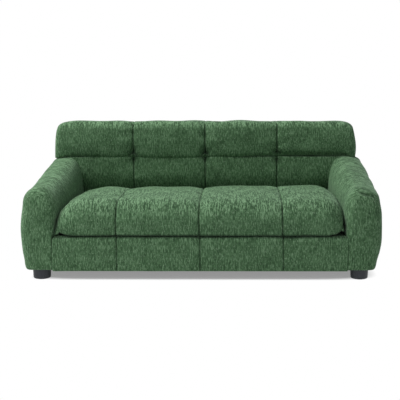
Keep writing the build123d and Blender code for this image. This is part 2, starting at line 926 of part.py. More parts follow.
# Arm cover: it swells at the side, slopes down to the front and rolls over to a flat front face
foam_bottom = floor_clearance + arm_inner_skin
foam_rear = arm_rear - arm_rear_wall
with BuildPart() as arm_foam:
    add(arm_block(arm_wadding, arm_inner_skin, foam_rear - fit_gap, foam_bottom))
    add(frame_room(arm_inner_x), mode=Mode.SUBTRACT)
save_pair(arm_foam, "arm_foam")

arm_stations = [front_y + share * arm_front_radius for share in arm_front_shares] + [arm_rear]
with BuildPart() as arm_cover:
    for y in arm_stations:
        draw = round_inset(y - front_y, arm_front_radius, arm_front_cut_share)
        with BuildSketch(Plane.XZ.offset(-y)):
            with BuildLine():
                arm_outline(y, draw * arm_inner_draw_share, draw, draw * arm_outer_draw_share, floor_clearance)
            make_face()
    loft(ruled=True)
    add(
        arm_block(arm_wadding - fit_gap, arm_inner_skin - fit_gap, foam_rear, foam_bottom - fit_gap),
        mode=Mode.SUBTRACT,
    )
    add(frame_room(arm_frame_inner - fit_gap), mode=Mode.SUBTRACT)
    discs(Plane.YZ.offset(arm_inner_x), arm_bolts, bolt_hole_radius, arm_inner_skin, Mode.SUBTRACT)
save_pair(arm_cover, "arm_cover")

# Feet: tapered, round at the lower edge, each with a felt glide let into its underside
foot_floor = foot_glide_thickness - foot_glide_recess
stud_foot = floor_clearance - foot_stud_depth
feet = {
    "foot_front_left": front_feet[0],
    "foot_front_right": front_feet[1],
    "foot_rear_left": rear_feet[0],
    "foot_rear_right": rear_feet[1],
}
for name, (x, y) in feet.items():
    with BuildPart() as foot:
        with Locations((x, y, (foot_floor + floor_clearance) / 2)):
            Cone(foot_bottom_radius, foot_top_radius, floor_clearance - foot_floor)
        fillet(foot.edges().filter_by(GeomType.CIRCLE).sort_by(Axis.Z)[0], radius=foot_edge_radius)
        discs(
            Plane.XY.offset(foot_floor),
            [(x, y)],
            foot_glide_radius + thread_gap,
            foot_glide_recess,
            Mode.SUBTRACT,
        )
        discs(
            Plane.XY.offset(stud_foot),
            [(x, y)],
            bolt_radius + thread_gap,
            foot_stud_depth,
            Mode.SUBTRACT,
        )
    save(foot, name)

with BuildPart() as foot_glides:
    discs(Plane.XY, feet.values(), foot_glide_radius, foot_glide_thickness)
save(foot_glides, "foot_glides")

with BuildPart() as foot_studs:
    discs(Plane.XY.offset(stud_foot), feet.values(), bolt_radius, stud_length)
save(foot_studs, "foot_studs")

# Bolts from inside the base into the arms and the backrest, with washers and tee nuts
rear_rail_face = side_rail_span[1]
sides = (1, -1)
arm_bolt_faces = [(side, Plane.YZ.offset(side * side_rail_x)) for side in sides]
with BuildPart() as assembly_bolts:
    for side, face in arm_bolt_faces:
        discs(face.offset(-side * washer_thickness), arm_bolts, bolt_radius, side * bolt_length)
        discs(face.offset(-side * washer_thickness), arm_bolts, bolt_head_radius, -side * bolt_head_height)
    discs(Plane.XZ.offset(washer_thickness - rear_rail_face), back_bolts, bolt_radius, -bolt_length)
    discs(
        Plane.XZ.offset(washer_thickness - rear_rail_face),
        back_bolts,
        bolt_head_radius,
        bolt_head_height,
    )
save(assembly_bolts, "assembly_bolts")

with BuildPart() as assembly_washers:
    for side, face in arm_bolt_faces:
        discs(face, arm_bolts, washer_radius, -side * washer_thickness)
        discs(face, arm_bolts, bolt_radius + washer_bore_gap, -side * washer_thickness, Mode.SUBTRACT)
    discs(Plane.XZ.offset(-rear_rail_face), back_bolts, washer_radius, washer_thickness)
    discs(
        Plane.XZ.offset(-rear_rail_face),
        back_bolts,
        bolt_radius + washer_bore_gap,
        washer_thickness,
        Mode.SUBTRACT,
    )
save(assembly_washers, "assembly_washers")

tee_bore_radius = bolt_radius + thread_gap
tee_nut_seats = [(Plane.YZ.offset(side * board_x[0]), arm_bolts, side) for side in sides]
tee_nut_seats += [
    (Plane.XZ.offset(-lower_rail_rear), back_bolts, -1),
    (Plane.XY.offset(bottom_rail_top), front_feet + rear_feet, 1),
]
with BuildPart() as tee_nuts:
    for seat, places, outward in tee_nut_seats:
        discs(seat, places, tee_flange_radius, outward * tee_flange_thickness)
        discs(seat, places, tee_barrel_radius, -outward * tee_barrel_length)
        discs(
            seat.offset(outward * tee_flange_thickness),
            places,
            tee_bore_radius,
            -outward * (tee_flange_thickness + tee_barrel_length),
            Mode.SUBTRACT,
        )
save(tee_nuts, "tee_nuts")

with BuildPart() as frame_screws:
    for face, places, inward in (
        (Plane.XZ.offset(-base_frame_front), base_screws, -1),
        (Plane.XZ.offset(-back_panel_front), base_screws, 1),
        (Plane.XY.offset(back_frame_top), back_screws, -1),
        (Plane.XY.offset(base_bottom), back_screws, 1),
    ):
        discs(face, places, screw_radius, inward * screw_length)
        discs(face, places, screw_head_radius, inward * screw_head_height)
save(frame_screws, "frame_screws")
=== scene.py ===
import json
import math

import bpy
import numpy as np
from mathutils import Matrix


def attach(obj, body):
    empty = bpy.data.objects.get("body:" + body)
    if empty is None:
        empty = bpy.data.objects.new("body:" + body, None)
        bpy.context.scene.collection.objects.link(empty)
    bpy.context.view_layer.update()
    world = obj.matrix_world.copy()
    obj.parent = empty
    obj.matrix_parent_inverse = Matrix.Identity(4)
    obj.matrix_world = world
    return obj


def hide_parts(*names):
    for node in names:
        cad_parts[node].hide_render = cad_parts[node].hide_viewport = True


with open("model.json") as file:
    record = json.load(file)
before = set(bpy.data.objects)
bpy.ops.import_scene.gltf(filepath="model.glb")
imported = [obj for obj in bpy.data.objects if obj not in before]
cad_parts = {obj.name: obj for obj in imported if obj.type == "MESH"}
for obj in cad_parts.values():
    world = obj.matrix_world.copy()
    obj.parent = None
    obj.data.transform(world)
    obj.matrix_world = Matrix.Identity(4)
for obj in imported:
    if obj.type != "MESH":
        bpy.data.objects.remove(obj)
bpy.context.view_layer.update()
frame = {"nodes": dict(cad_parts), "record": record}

print("frame loaded")

# A pet sofa in green chenille. Sizes are millimetres in the part's frame; closedSkin turns them into metres.
seams = (-277, 0, 277)
quarterTurn = math.pi / 2
perMetre = 1000


# Shader maths

class Wire:  # one output of a node, with the operators that values need
    def __init__(self, nodes, socket):
        self.nodes, self.socket = nodes, socket

    def combine(self, operation, first, second):
        return self.nodes.node("ShaderNodeMath", {"operation": operation}, {0: first, 1: second})

    def __add__(self, other):
        return self.combine("ADD", self, other)

    def __radd__(self, other):
        return self.combine("ADD", other, self)

    def __sub__(self, other):
        return self.combine("SUBTRACT", self, other)

    def __rsub__(self, other):
        return self.combine("SUBTRACT", other, self)

    def __mul__(self, other):
        return self.combine("MULTIPLY", self, other)

    def __rmul__(self, other):
        return self.combine("MULTIPLY", other, self)


class Nodes:  # a node tree that takes nodes by type, settings and inputs
    def __init__(self, tree):
        self.tree = tree

    def node(self, kind, settings, inputs, output=0):
        made = self.tree.nodes.new(kind)
        for name, value in settings.items():
            if name == "stops":
                ramp = made.color_ramp
                while len(ramp.elements) < len(value):
                    ramp.elements.new(0.5)
                for stop, (place, colour) in zip(ramp.elements, value):
                    stop.position, stop.color = place, (*colour, 1)
            else:
                setattr(made, name, value)
        for name, value in inputs.items():
            self.feed(made.inputs[name], value)
        return Wire(self, made.outputs[output])

    def feed(self, socket, value):
        if isinstance(value, Wire):
            self.tree.links.new(value.socket, socket)
        else:
            socket.default_value = value


class Finish(Nodes):  # a material under construction
    def __init__(self, name, constants):
        self.material = bpy.data.materials.new(name)
        self.material.use_nodes = True
        super().__init__(self.material.node_tree)
        self.skin = self.tree.nodes["Principled BSDF"]
        for socket, value in constants.items():
            self.skin.inputs[socket].default_value = value

    def place(self, output, scale, shift=(0, 0, 0)):  # a texture place, stretched and moved
        start = self.node("ShaderNodeTexCoord", {}, {}, output)
        return self.node("ShaderNodeVectorMath", {"operation": "MULTIPLY_ADD"}, {0: start, 1: scale, 2: shift})

    def part(self, place, axis):  # one coordinate of a place
        return self.node("ShaderNodeSeparateXYZ", {}, {0: place}, axis)

    def noise(self, place, detail, roughness):
        return self.node("ShaderNodeTexNoise", {}, {"Vector": place, "Scale": 1.0, "Detail": detail,
                                                    "Roughness": roughness})

    def spread(self, value, low, high):  # from 0 at low to 1 at high, with soft ends
        return self.node("ShaderNodeMapRange", {"interpolation_type": "SMOOTHSTEP"},
                         {"Value": value, "From Min": low, "From Max": high})

    def ramp(self, value, stops):
        return self.node("ShaderNodeValToRGB", {"stops": stops}, {"Fac": value})

    def mixColour(self, factor, first, second):
        return self.node("ShaderNodeMix", {"data_type": "RGBA"}, {0: factor, 6: first, 7: second}, 2)

    def bump(self, height, strength, distance):
        normal = self.node("ShaderNodeBump", {}, {"Height": height, "Strength": strength, "Distance": distance})
        self.feed(self.skin.inputs["Normal"], normal)

    def colour(self, value):
        self.feed(self.skin.inputs["Base Color"], value)

    def roughness(self, value):
        self.feed(self.skin.inputs["Roughness"], value)


# Chenille: short upright tufts of pile in two greens, drawn out along the cloth's length, with lighter flecks
chenille = {
    "surface": {"Roughness": 0.92, "Sheen Weight": 0.17, "Sheen Roughness": 0.45,
                "Sheen Tint": (0.64, 0.90, 0.66, 1), "Specular IOR Level": 0.2},
    "shade": (0.026, 0.062, 0.026), "middle": (0.060, 0.132, 0.058), "light": (0.150, 0.262, 0.142),
    # seam is the colour of painted shade, which the shade attribute mixes into seams, gaps, creases and tufts where
    # shade falls
    "flecked": (0.300, 0.440, 0.280, 1), "seam": (0.006, 0.018, 0.007, 1),
    "patterns": {  # the stretch over the cloth, shift, detail and roughness of each noise
        "tuft": ((270, 78, 1), (0, 0, 0), 2, 0.55),
        "yarn": ((640, 230, 1), (3, 7, 0), 2, 0.6),
        "streak": ((300, 33, 1), (19, 2, 0), 2, 0.55),
        "patch": ((26, 15, 1), (11, 5, 0), 3, 0.6),
        "fleck": ((360, 120, 1), (31, 17, 0), 1, 0.5),
        "rows": ((150, 16, 1), (41, 23, 0), 2, 0.55),
    },
    "toneShares": {"tuft": 0.4, "streak": 0.34, "yarn": 0.2, "patch": 0.16}, "toneSpan": (0.40, 0.70),
    "fleckSpan": (0.58, 0.76), "fleckShare": 0.55,
    # rowShare and the spread at the end of this line are painted light on faces that point up: pile tips catching
    # the overhead light
    "facesUp": (0.2, 0.9), "rowShare": 0.32, "evenTone": 0.55, "paintedPileGlint": 1.2,
    "pileShares": {"tuft": 0.5, "streak": 0.2, "yarn": 0.3}, "pileStrength": 0.8, "pileDepth": 0.0026,
}


def blend(patterns, shares):  # the patterns added up, each times its share
    return sum(patterns[name] * share for name, share in shares.items())


def chenilleFinish(name):
    finish = Finish(name, chenille["surface"])
    patterns = {}
    for key, (scale, shift, detail, roughness) in chenille["patterns"].items():
        patterns[key] = finish.noise(finish.place("UV", scale, shift), detail, roughness)
    # painted light: on faces that point up, an extra rows pattern stands in for pile tips catching the overhead
    # light
    up = finish.spread(finish.part(finish.place("Normal", (1, 1, 1)), 2), *chenille["facesUp"])
    tone = blend(patterns, chenille["toneShares"]) + up * (patterns["rows"] - 0.5) * chenille["rowShare"]
    even = chenille["evenTone"]
    tone = even + (tone - even) * (1 + up * chenille["paintedPileGlint"])  # painted light: tones spread wider where the cloth faces up, standing in for pile tips catching the overhead light
    body = finish.ramp(finish.spread(tone, *chenille["toneSpan"]),
                       ((0, chenille["shade"]), (0.5, chenille["middle"]), (1, chenille["light"])))
    flecks = finish.spread(patterns["fleck"], *chenille["fleckSpan"]) * chenille["fleckShare"]
    flecked = finish.mixColour(flecks, body, chenille["flecked"])
    # painted shade: the shade attribute darkens the cloth towards the seam colour in seams, gaps, creases and tufts
    crease = finish.node("ShaderNodeAttribute", {"attribute_name": "crease"}, {}, 2)
    finish.colour(finish.mixColour(crease, flecked, chenille["seam"]))
    finish.bump(blend(patterns, chenille["pileShares"]), chenille["pileStrength"], chenille["pileDepth"])
    return finish.material


green = chenilleFinish("greenChenille")


# Mesh building

def closedSkin(name, rings, bands, crease):
    # a skin through closed rings, drawn together to a point at both ends
    # the painted shade at each point: how far the cloth darkens in seams, gaps, creases and tufts where shade falls
    # each band of rows has its own cloth places, one more round the ring than there are points, for a clean join
    rows, around = rings.shape[:2]
    points = np.concatenate([rings.reshape(-1, 3), rings[:1].mean(1), rings[-1:].mean(1)]) / perMetre
    column = np.arange(around)[None]
    following = (column + 1) % around
    quads, cloth = [], []
    for first, last, uv in bands:
        row = np.arange(first, last)[:, None]
        quads.append(np.stack([row * around + column, (row + 1) * around + column,
                               (row + 1) * around + following, row * around + following], -1).reshape(-1, 4))
        local = row - first
        cloth.append(np.stack([uv[local, column], uv[local + 1, column], uv[local + 1, column + 1],
                               uv[local, column + 1]], 2).reshape(-1, 2))
    flat, turned = column[0], following[0]
    startPole, endPole = np.full(around, rows * around), np.full(around, rows * around + 1)
    lastRow = (rows - 1) * around
    fans = np.concatenate([np.stack([startPole, flat, turned], -1),
                           np.stack([lastRow + flat, endPole, lastRow + turned], -1)])
    startCloth, endCloth = bands[0][2][0], bands[-1][2][-1]
    startMiddle, endMiddle = [np.broadcast_to(ring.mean(0), (around, 2)) for ring in (startCloth, endCloth)]
    cloth.append(np.stack([startMiddle, startCloth[:-1], startCloth[1:]], 1).reshape(-1, 2))
    cloth.append(np.stack([endCloth[:-1], endMiddle, endCloth[1:]], 1).reshape(-1, 2))
    mesh = bpy.data.meshes.new(name)
    mesh.from_pydata(points.tolist(), [], np.concatenate(quads).tolist() + fans.tolist())
    mesh.uv_layers.new(name="cloth").data.foreach_set("uv", (np.concatenate(cloth) / perMetre).ravel())
    mesh.polygons.foreach_set("use_smooth", np.ones(len(mesh.polygons), bool))
    mesh.attributes.new("crease", "FLOAT", "POINT").data.foreach_set(
        "value", np.clip(np.concatenate([crease.ravel(), (0, 0)]), 0, 1))
    mesh.materials.append(green)
    piece = bpy.data.objects.new(name, mesh)
    bpy.context.collection.objects.link(piece)
    return piece


def dress(piece, body, slot, *nodes, fill):
    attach(piece, body)
    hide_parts(*nodes)


def smooth(value, start, reach):  # from 0 to 1 over the reach, with soft ends
    share = np.clip((value - start) / reach, 0, 1)
    return share * share * (3 - 2 * share)


def bell(value, middle, reach):  # 1 at the middle, falling off to both sides as the exponential of minus the square
    return np.exp(-((value - middle) / reach) ** 2)


def ripple(across, along, size, seed):
    # a sum of plane waves about one size long, in random directions and phases, with a mean square of one
    waves = 12
    source = np.random.default_rng(seed)
    total = 0
    for angle, phase, stretch in source.uniform((0, 0, 0.7), (math.pi, 2 * math.pi, 1.5), (waves, 3)):
        walked = across * math.cos(angle) + along * math.sin(angle)
        total = total + np.sin(2 * math.pi / (size * stretch) * walked + phase)
    return total / math.sqrt(waves / 2)


def pushOut(rings, amount):
    # moves each point along the cross product of the steps along the rows and round them
    normal = np.cross(np.gradient(rings, axis=0), np.roll(rings, -1, 1) - np.roll(rings, 1, 1))
    return rings + normal / np.maximum(np.linalg.norm(normal, axis=2, keepdims=True), 1e-9) * amount[..., None]


def capRings(ring, direction, depth, shares):
    # rings that draw together to the middle of an end, on a low dome: the depth times one less the share squared
    middle = ring.mean(0)
    shares = np.asarray(shares)[:, None, None]
    rings = middle + (ring - middle) * shares
    return rings + np.asarray(direction) * depth * (1 - shares ** 2)


def wrap(rings):  # each ring with its first point again at the end
    return np.concatenate([rings, rings[:, :1]], 1)


def lengths(outline):
    # distance walked round a closed outline, from its first point back to it
    steps = np.linalg.norm(np.diff(np.concatenate([outline, outline[:1]]), axis=0), axis=1)
    return np.concatenate([[0], np.cumsum(steps)])


def boxOutline(front, rear, bottom, top, radii, counts):
    # a rounded box across the depth at every station: a quarter circle at each corner, straight sides between them
    # it walks from the front's lower corner up, back along the top and home along the underside
    turn = np.linspace(0, 1, counts[0])
    radii = [np.broadcast_to(radius, front.shape) for radius in radii]
    middles = ((front + radii[0], bottom + radii[0]), (front + radii[1], top - radii[1]),
               (rear - radii[2], top - radii[2]), (rear - radii[3], bottom + radii[3]))
    arcs = []
    for corner, (y, z) in enumerate(middles):
        angle = -(1 + corner + turn) * quarterTurn
        radius = radii[corner][:, None]
        arcs.append((y[:, None] + radius * np.cos(angle), z[:, None] + radius * np.sin(angle), angle))
    parts = []
    for corner in range(4):
        y, z, angle = arcs[corner]
        nextY, nextZ, _ = arcs[(corner + 1) % 4]
        share = np.linspace(0, 1, counts[1 + corner] + 2)[1:-1]
        straightY = y[:, -1:] + (nextY[:, :1] - y[:, -1:]) * share
        straightZ = z[:, -1:] + (nextZ[:, :1] - z[:, -1:]) * share
        parts += [(y, z, angle), (straightY, straightZ, np.full(len(share), angle[-1]))]
    return [np.concatenate([part[k] for part in parts], -1) for k in range(3)]


# Padded pieces: what they share, then how one is made from its own dictionary
padding = {
    "seamSpacing": 1.5, "seamCrowd": 11,  # stations stand this close at a seam, and crowd over this reach
    "endTurn": 76, "endRows": 12, "capShares": (0.96, 0.88, 0.76, 0.6, 0.42, 0.24, 0.1),
    "nearEnd": (55, 45),  # how far from an end its own corner, lean and sag set in, and their reach
    "lipReach": 16, "lipHeight": (1.3, 70), "sagHeight": 60, "sagRear": (134, 16), "footReach": 40,
    "climbX": (0, 300), "climbHeight": (50, 50), "crownPower": 2.8,
    "hollow": (0.6, 4), "seamHollow": (0.4, 10),  # share and power over the half panel, share and reach at the seam
    "grooveShown": 2.2, "foldSlant": 0.4, "foldReach": 34, "waveSize": 150,
    # the next line sets the painted shade beside the seams, at the lower and upper edges and in the tufts
    "paintedSeamShade": (0.1, 7), "edgeReach": 9, "edgeShown": 3, "tuftShown": 4, "tuftShade": 0.6,
}


def seamStations(end, spacing):
    # places along the sofa, close together at the seams: the running total of a density that peaks there
    x = np.linspace(-end, end, 4001)
    near = sum(bell(x, seam, padding["seamCrowd"]) for seam in seams)
    density = 1 / spacing + near * (1 / padding["seamSpacing"] - 1 / spacing)
    total = np.concatenate([[0], np.cumsum((density[1:] + density[:-1]) / 2 * np.diff(x))])
    return np.interp(np.linspace(0, total[-1], int(total[-1]) + 1), total, x)


def padStations(pad):
    # places along the sofa, and how far the piece has drawn in there, on a quarter ellipse at each end
    end, run = pad["halfWidth"], pad["endRun"]
    middle = seamStations(end - run, pad["spacing"])
    turn = np.radians(np.linspace(0, padding["endTurn"], padding["endRows"])[1:])
    tips, draw = end - run + run * np.sin(turn), 1 - np.cos(turn)
    return (np.concatenate([-tips[::-1], middle, tips]),
            np.concatenate([draw[::-1], np.zeros(len(middle)), draw]))


def padBody(pad, x, draw):
    # the rounded box at each station; the top falls by a parabola over the shoulder and a smooth step at the left
    # the end leans in by a straight shear; the lip and the foot are smooth steps, the sags are bells
    # the climb lifts the rear along a straight line, and the bulge stands out on a parabola
    end = pad["halfWidth"]
    shoulderReach, shoulderFall = pad.get("shoulder", (100, 0))
    fall = shoulderFall * (np.clip(np.abs(x) - end + shoulderReach, 0, None) / shoulderReach) ** 2
    droop, droopReach = pad.get("leftDroop", (0, 1))
    fall = fall + droop * smooth(-x, end - droopReach, droopReach)
    front = pad["front"] + pad["swell"] + draw * pad["endDraw"][0]
    top = pad["top"] - pad["crown"] - draw * pad["endDraw"][1] - fall
    rear = pad["rear"] - draw * pad["endDraw"][2]
    bottom = pad["bottom"] + draw * pad["endDraw"][3]
    nearEnd = smooth(np.abs(x), end - padding["nearEnd"][0], padding["nearEnd"][1])
    radii = list(pad["radii"])
    radii[0] = radii[0] + (pad.get("endLowRadius", radii[0]) - radii[0]) * nearEnd
    y, z, angle = boxOutline(front, rear, bottom, top, radii, pad["counts"])
    faceWeight, topWeight = np.clip(-np.cos(angle), 0, 1), np.clip(np.sin(angle), 0, 1)
    lean = pad.get("endLean", 0) * nearEnd[:, None] * (z - pad["bottom"]) / (pad["top"] - pad["bottom"])
    lipDepth, lipFront = pad.get("lip", (0, 0))
    lipMost, lipFade = padding["lipHeight"]
    z = z - (lipDepth * smooth(lipFront - y, 0, padding["lipReach"])
             * np.clip(lipMost - (z - pad["bottom"]) / lipFade, 0, 1))
    z = z - (pad.get("endSag", 0) * nearEnd[:, None]
             * np.clip(1 - (z - pad["bottom"]) / padding["sagHeight"], 0, 1))
    sagRear, sagFade = padding["sagRear"]
    ahead = smooth(pad["rear"] - sagRear - y, 0, sagFade)
    for sag, sagMiddle, sagReach in pad.get("sags", ()):
        low = np.clip(1 - (z - pad["bottom"]) / padding["sagHeight"], 0, 1)
        z = z - sag * bell(x, sagMiddle, sagReach)[:, None] * ahead * low
    climb = np.interp(x, padding["climbX"], pad.get("climb", (0, 0)))[:, None]
    climbStart, climbReach = padding["climbHeight"]
    rearShare = np.clip((y - pad["front"]) / (pad["rear"] - pad["front"]), 0, 1)
    z = z + climb * smooth(z, pad["bottom"] + climbStart, climbReach) * rearShare
    bulge, bulgeFrom, bulgeReach = pad.get("bulge", (0, 0, 1))
    bulging = 1 - (1 - np.clip((z - bulgeFrom) / bulgeReach, 0, 1)) ** 2
    y = y - bulge * bulging * np.clip(-np.cos(angle) + np.sin(angle), 0, 1) * (1 - draw)[:, None]
    footDepth, footTop = pad.get("foot", (0, 0))
    y = y + footDepth * smooth(footTop - z, 0, padding["footReach"]) * faceWeight
    rings = np.stack([x[:, None] - np.sign(x[:, None]) * lean, y, z], -1)
    depthShare = (y - front[:, None]) / (rear - front)[:, None]
    heightShare = (z - bottom[:, None]) / (top - bottom)[:, None]
    return rings, (faceWeight, topWeight), (depthShare, heightShare)


def padRelief(pad, x, draw, z, walked, weights, shares):
    # how far the cloth stands out at each point, and how far painted shade darkens it in the seams, at the edges
    # and in the tufts
    # crown and swell are low parabolas; at a seam it sinks by a fourth power, an exponential and a narrow groove
    # folds run out from the seams, and a tuft pulls the seam in on a bell
    faceWeight, topWeight = weights
    depthShare, heightShare = shares
    keep = (1 - draw)[:, None]
    amount = pad["crown"] * topWeight * (1 - np.abs(2 * depthShare - 1) ** padding["crownPower"]) * keep
    amount = amount + pad["swell"] * faceWeight * (1 - (2 * heightShare - 1) ** 2) * keep
    toSeam = np.abs(x[:, None] - np.array(seams)).min(1)
    halfPanel = np.where(np.abs(x) > seams[2], pad["halfWidth"] - seams[2], seams[2] / 2)
    (broadShare, broadPower), (nearShare, nearReach) = padding["hollow"], padding["seamHollow"]
    hollow = (broadShare * np.clip(1 - toSeam / halfPanel, 0, 1) ** broadPower
              + nearShare * np.exp(-toSeam / nearReach))
    seamDepth = pad["seamDepth"][0] * faceWeight + pad["seamDepth"][1] * topWeight
    grooved = np.maximum(faceWeight, topWeight * pad.get("topGroove", 1))
    shown = np.clip(padding["grooveShown"] * grooved, 0, 1)
    slit = bell(toSeam, 0, pad["grooveWidth"])[:, None] * shown
    amount = amount - hollow[:, None] * seamDepth - pad["groove"] * slit
    showing = np.clip(faceWeight + topWeight, 0, 1)
    around = walked[None, :-1]
    folds = ripple(x[:, None] * padding["foldSlant"], around, pad["foldSize"], pad["seed"])
    amount = amount + showing * folds * (pad["fold"] * np.exp(-toSeam / padding["foldReach"])[:, None])
    waves = ripple(x[:, None], around, padding["waveSize"], pad["seed"] + 1)
    amount = amount + showing * waves * pad["unevenness"]
    # painted shade in each seam's groove and just beside it, and along the lower and upper edge where this piece
    # meets the next
    gloom, gloomReach = padding["paintedSeamShade"]
    seamShadeNear = gloom * np.exp(-toSeam / gloomReach)[:, None] * shown
    crease = slit * pad["seamShade"] + seamShadeNear * (pad["seamShade"] > 0)
    lowShade, highShade = pad.get("edgeShade", (0, 0))
    lowEdge = np.clip(1 - (z - pad["bottom"]) / padding["edgeReach"], 0, 1)
    highEdge = np.clip(1 - (pad["top"] - z) / padding["edgeReach"], 0, 1)
    facing = np.clip(padding["edgeShown"] * faceWeight, 0, 1)
    crease = crease + facing * (lowShade * lowEdge + highShade * highEdge)
    # each tuft sinks the cloth and paints shade into its pit
    for tuftHeight, tuftDepth, tuftWidth, tuftReach in pad.get("tufts", ()):
        pull = bell(toSeam, 0, tuftWidth)[:, None] * bell(z, tuftHeight, tuftReach)
        pull = pull * np.clip(faceWeight * padding["tuftShown"], 0, 1)
        amount = amount - tuftDepth * pull
        crease = crease + padding["tuftShade"] * pull
    return amount, crease


def paddedPiece(name, pad):
    # the rounded box carried along the sofa, pushed out by its relief and closed on a dome at each end
    x, draw = padStations(pad)
    rings, weights, shares = padBody(pad, x, draw)
    walked = lengths(rings[len(x) // 2, :, 1:])
    amount, crease = padRelief(pad, x, draw, rings[..., 2], walked, weights, shares)
    rings = pushOut(rings, amount)
    caps = padding["capShares"]
    startCap = capRings(rings[0], (-1, 0, 0), pad["endDome"], caps)[::-1]
    endCap = capRings(rings[-1], (1, 0, 0), pad["endDome"], caps)
    rings = np.concatenate([startCap, rings, endCap])
    crease = np.pad(np.broadcast_to(crease, (len(x), rings.shape[1])), ((len(caps), len(caps)), (0, 0)))
    cloth = np.stack(np.broadcast_arrays(x[:, None], walked), -1)
    side = wrap(rings)[..., 1:]
    start, stop = len(caps), len(caps) + len(x) - 1
    bands = [(0, start, side[:start + 1]), (start, stop, cloth), (stop, len(rings) - 1, side[stop:])]
    rings[..., 0] += pad.get("shift", 0)
    return closedSkin(name, rings, bands, crease)


# In each piece's dictionary: radii go round from the front's lower corner; endDraw is how far an end draws in at
# the front, top, rear and underside; counts are the points on a corner and on the same four sides; lip is a depth
# and where it starts; climb is the rear's lift up to the middle and at the right; leftDroop is a fall and its
# reach, and shoulder the reach and then the fall; bulge is a depth, the height it starts at and its reach; foot is
# a depth and its top; a sag is a depth, its middle and its reach; a tuft is a height, depth, width and reach;
# seamDepth is that of the face and of the top
# seamShade and edgeShade are painted shade: they darken the cloth in the seam grooves and along the lower and upper
# edge

# Seat cushion
seatCushion = {
    "halfWidth": 480.5, "front": -320, "rear": 184, "bottom": 146.3, "top": 273, "crown": 19, "swell": 7,
    "radii": (12, 60, 32, 8), "lip": (8, -303), "climb": (4.5, 11.5), "leftDroop": (20, 130), "topGroove": 0.25,
    "shift": -3, "counts": (10, 14, 64, 12, 30), "endRun": 64, "endDraw": (22, 44, 10, 26), "endDome": 4,
    "seamDepth": (5, 10), "groove": 6, "grooveWidth": 2.0, "seamShade": 0.52, "edgeShade": (0.95, 0),
    "spacing": 7, "fold": 1.4, "foldSize": 40, "unevenness": 1.3, "seed": 3,
}
dress(paddedPiece("seatCushion", seatCushion), "cushion", "green_fabric", "seat_cushion_cover", fill=0.75)
print("seat cushion made")

# Front of the base
baseFront = {
    "halfWidth": 490.5, "front": -321.5, "rear": -300.3, "bottom": 29.5, "top": 145.7, "crown": 0, "swell": 3,
    "radii": (4, 16, 1, 1), "counts": (7, 22, 4, 14, 4), "endRun": 4, "endDraw": (2.5, 2, 0, 1), "endDome": 0.3,
    "seamDepth": (4, 0), "groove": 3.5, "grooveWidth": 2.0, "seamShade": 0.46, "edgeShade": (0, 0.9),
    "spacing": 7, "fold": 0.7, "foldSize": 38, "unevenness": 0.6, "seed": 11,
}
dress(paddedPiece("baseFront", baseFront), "sofa", "green_fabric", "base_front_cover", fill=0.8)

# Backrest: the lower pad, and the roll that overhangs it with a drawn-in tuft at the foot of each seam
lowerPad = {
    "halfWidth": 551.7, "front": 187.5, "rear": 220.7, "bottom": 147.5, "top": 381.7, "crown": 0, "swell": 5,
    "radii": (13, 12, 1, 1), "counts": (8, 44, 6, 20, 6), "bulge": (23, 254, 70),
    "foot": (7, 225),  # the foot draws in behind the cushion's zip
    "endRun": 12, "endDraw": (9, 6, 0, 0), "endDome": 0.4,
    "seamDepth": (6, 0), "groove": 4, "grooveWidth": 2.2, "seamShade": 0.55, "tufts": ((372, 5, 14, 14),),
    "spacing": 7, "fold": 0.9, "foldSize": 44, "unevenness": 0.9, "seed": 21,
}
dress(paddedPiece("lowerPad", lowerPad), "sofa", "green_fabric", "back_lower_cover", fill=0.7)
backRoll = {
    "halfWidth": 580.5, "front": 158, "rear": 320, "bottom": 382, "top": 516, "crown": 4, "swell": 7,
    "radii": (15, 25, 40, 5), "counts": (12, 22, 24, 20, 22), "endRun": 24, "endDraw": (16, 16, 16, 0),
    "endDome": 3, "shoulder": (120, 9), "endLowRadius": 4, "endLean": 8, "endSag": 8,
    "sags": ((12, -140, 270), (4, -380, 80), (-11, 372, 145), (-7, 485, 70)),
    "seamDepth": (9, 4), "groove": 5, "topGroove": 0.1, "grooveWidth": 2.2, "seamShade": 0.52,
    "tufts": ((386, 12, 16, 26),), "spacing": 7, "fold": 1.5, "foldSize": 42, "unevenness": 1.3, "seed": 31,
}
dress(paddedPiece("backRoll", backRoll), "sofa", "green_fabric", "back_roll_cover", fill=0.85)
print("backrest made")

# Deck cover under the loose cushion
deckCover = {
    "halfWidth": 483.7, "front": -300, "rear": 221, "bottom": 143, "top": 146, "crown": 0.6, "swell": 0,
    "radii": (1.2, 1.2, 1.2, 1.2), "counts": (4, 2, 60, 2, 40), "endRun": 2, "endDraw": (0, 0, 0, 0),
    "endDome": 0, "seamDepth": (0, 0), "groove": 0, "grooveWidth": 2, "seamShade": 0,
    "spacing": 9, "fold": 0, "foldSize": 60, "unevenness": 0.12, "seed": 41,
}
dress(paddedPiece("deckCover", deckCover), "sofa", "green_fabric", "deck_cover", fill=0.2)

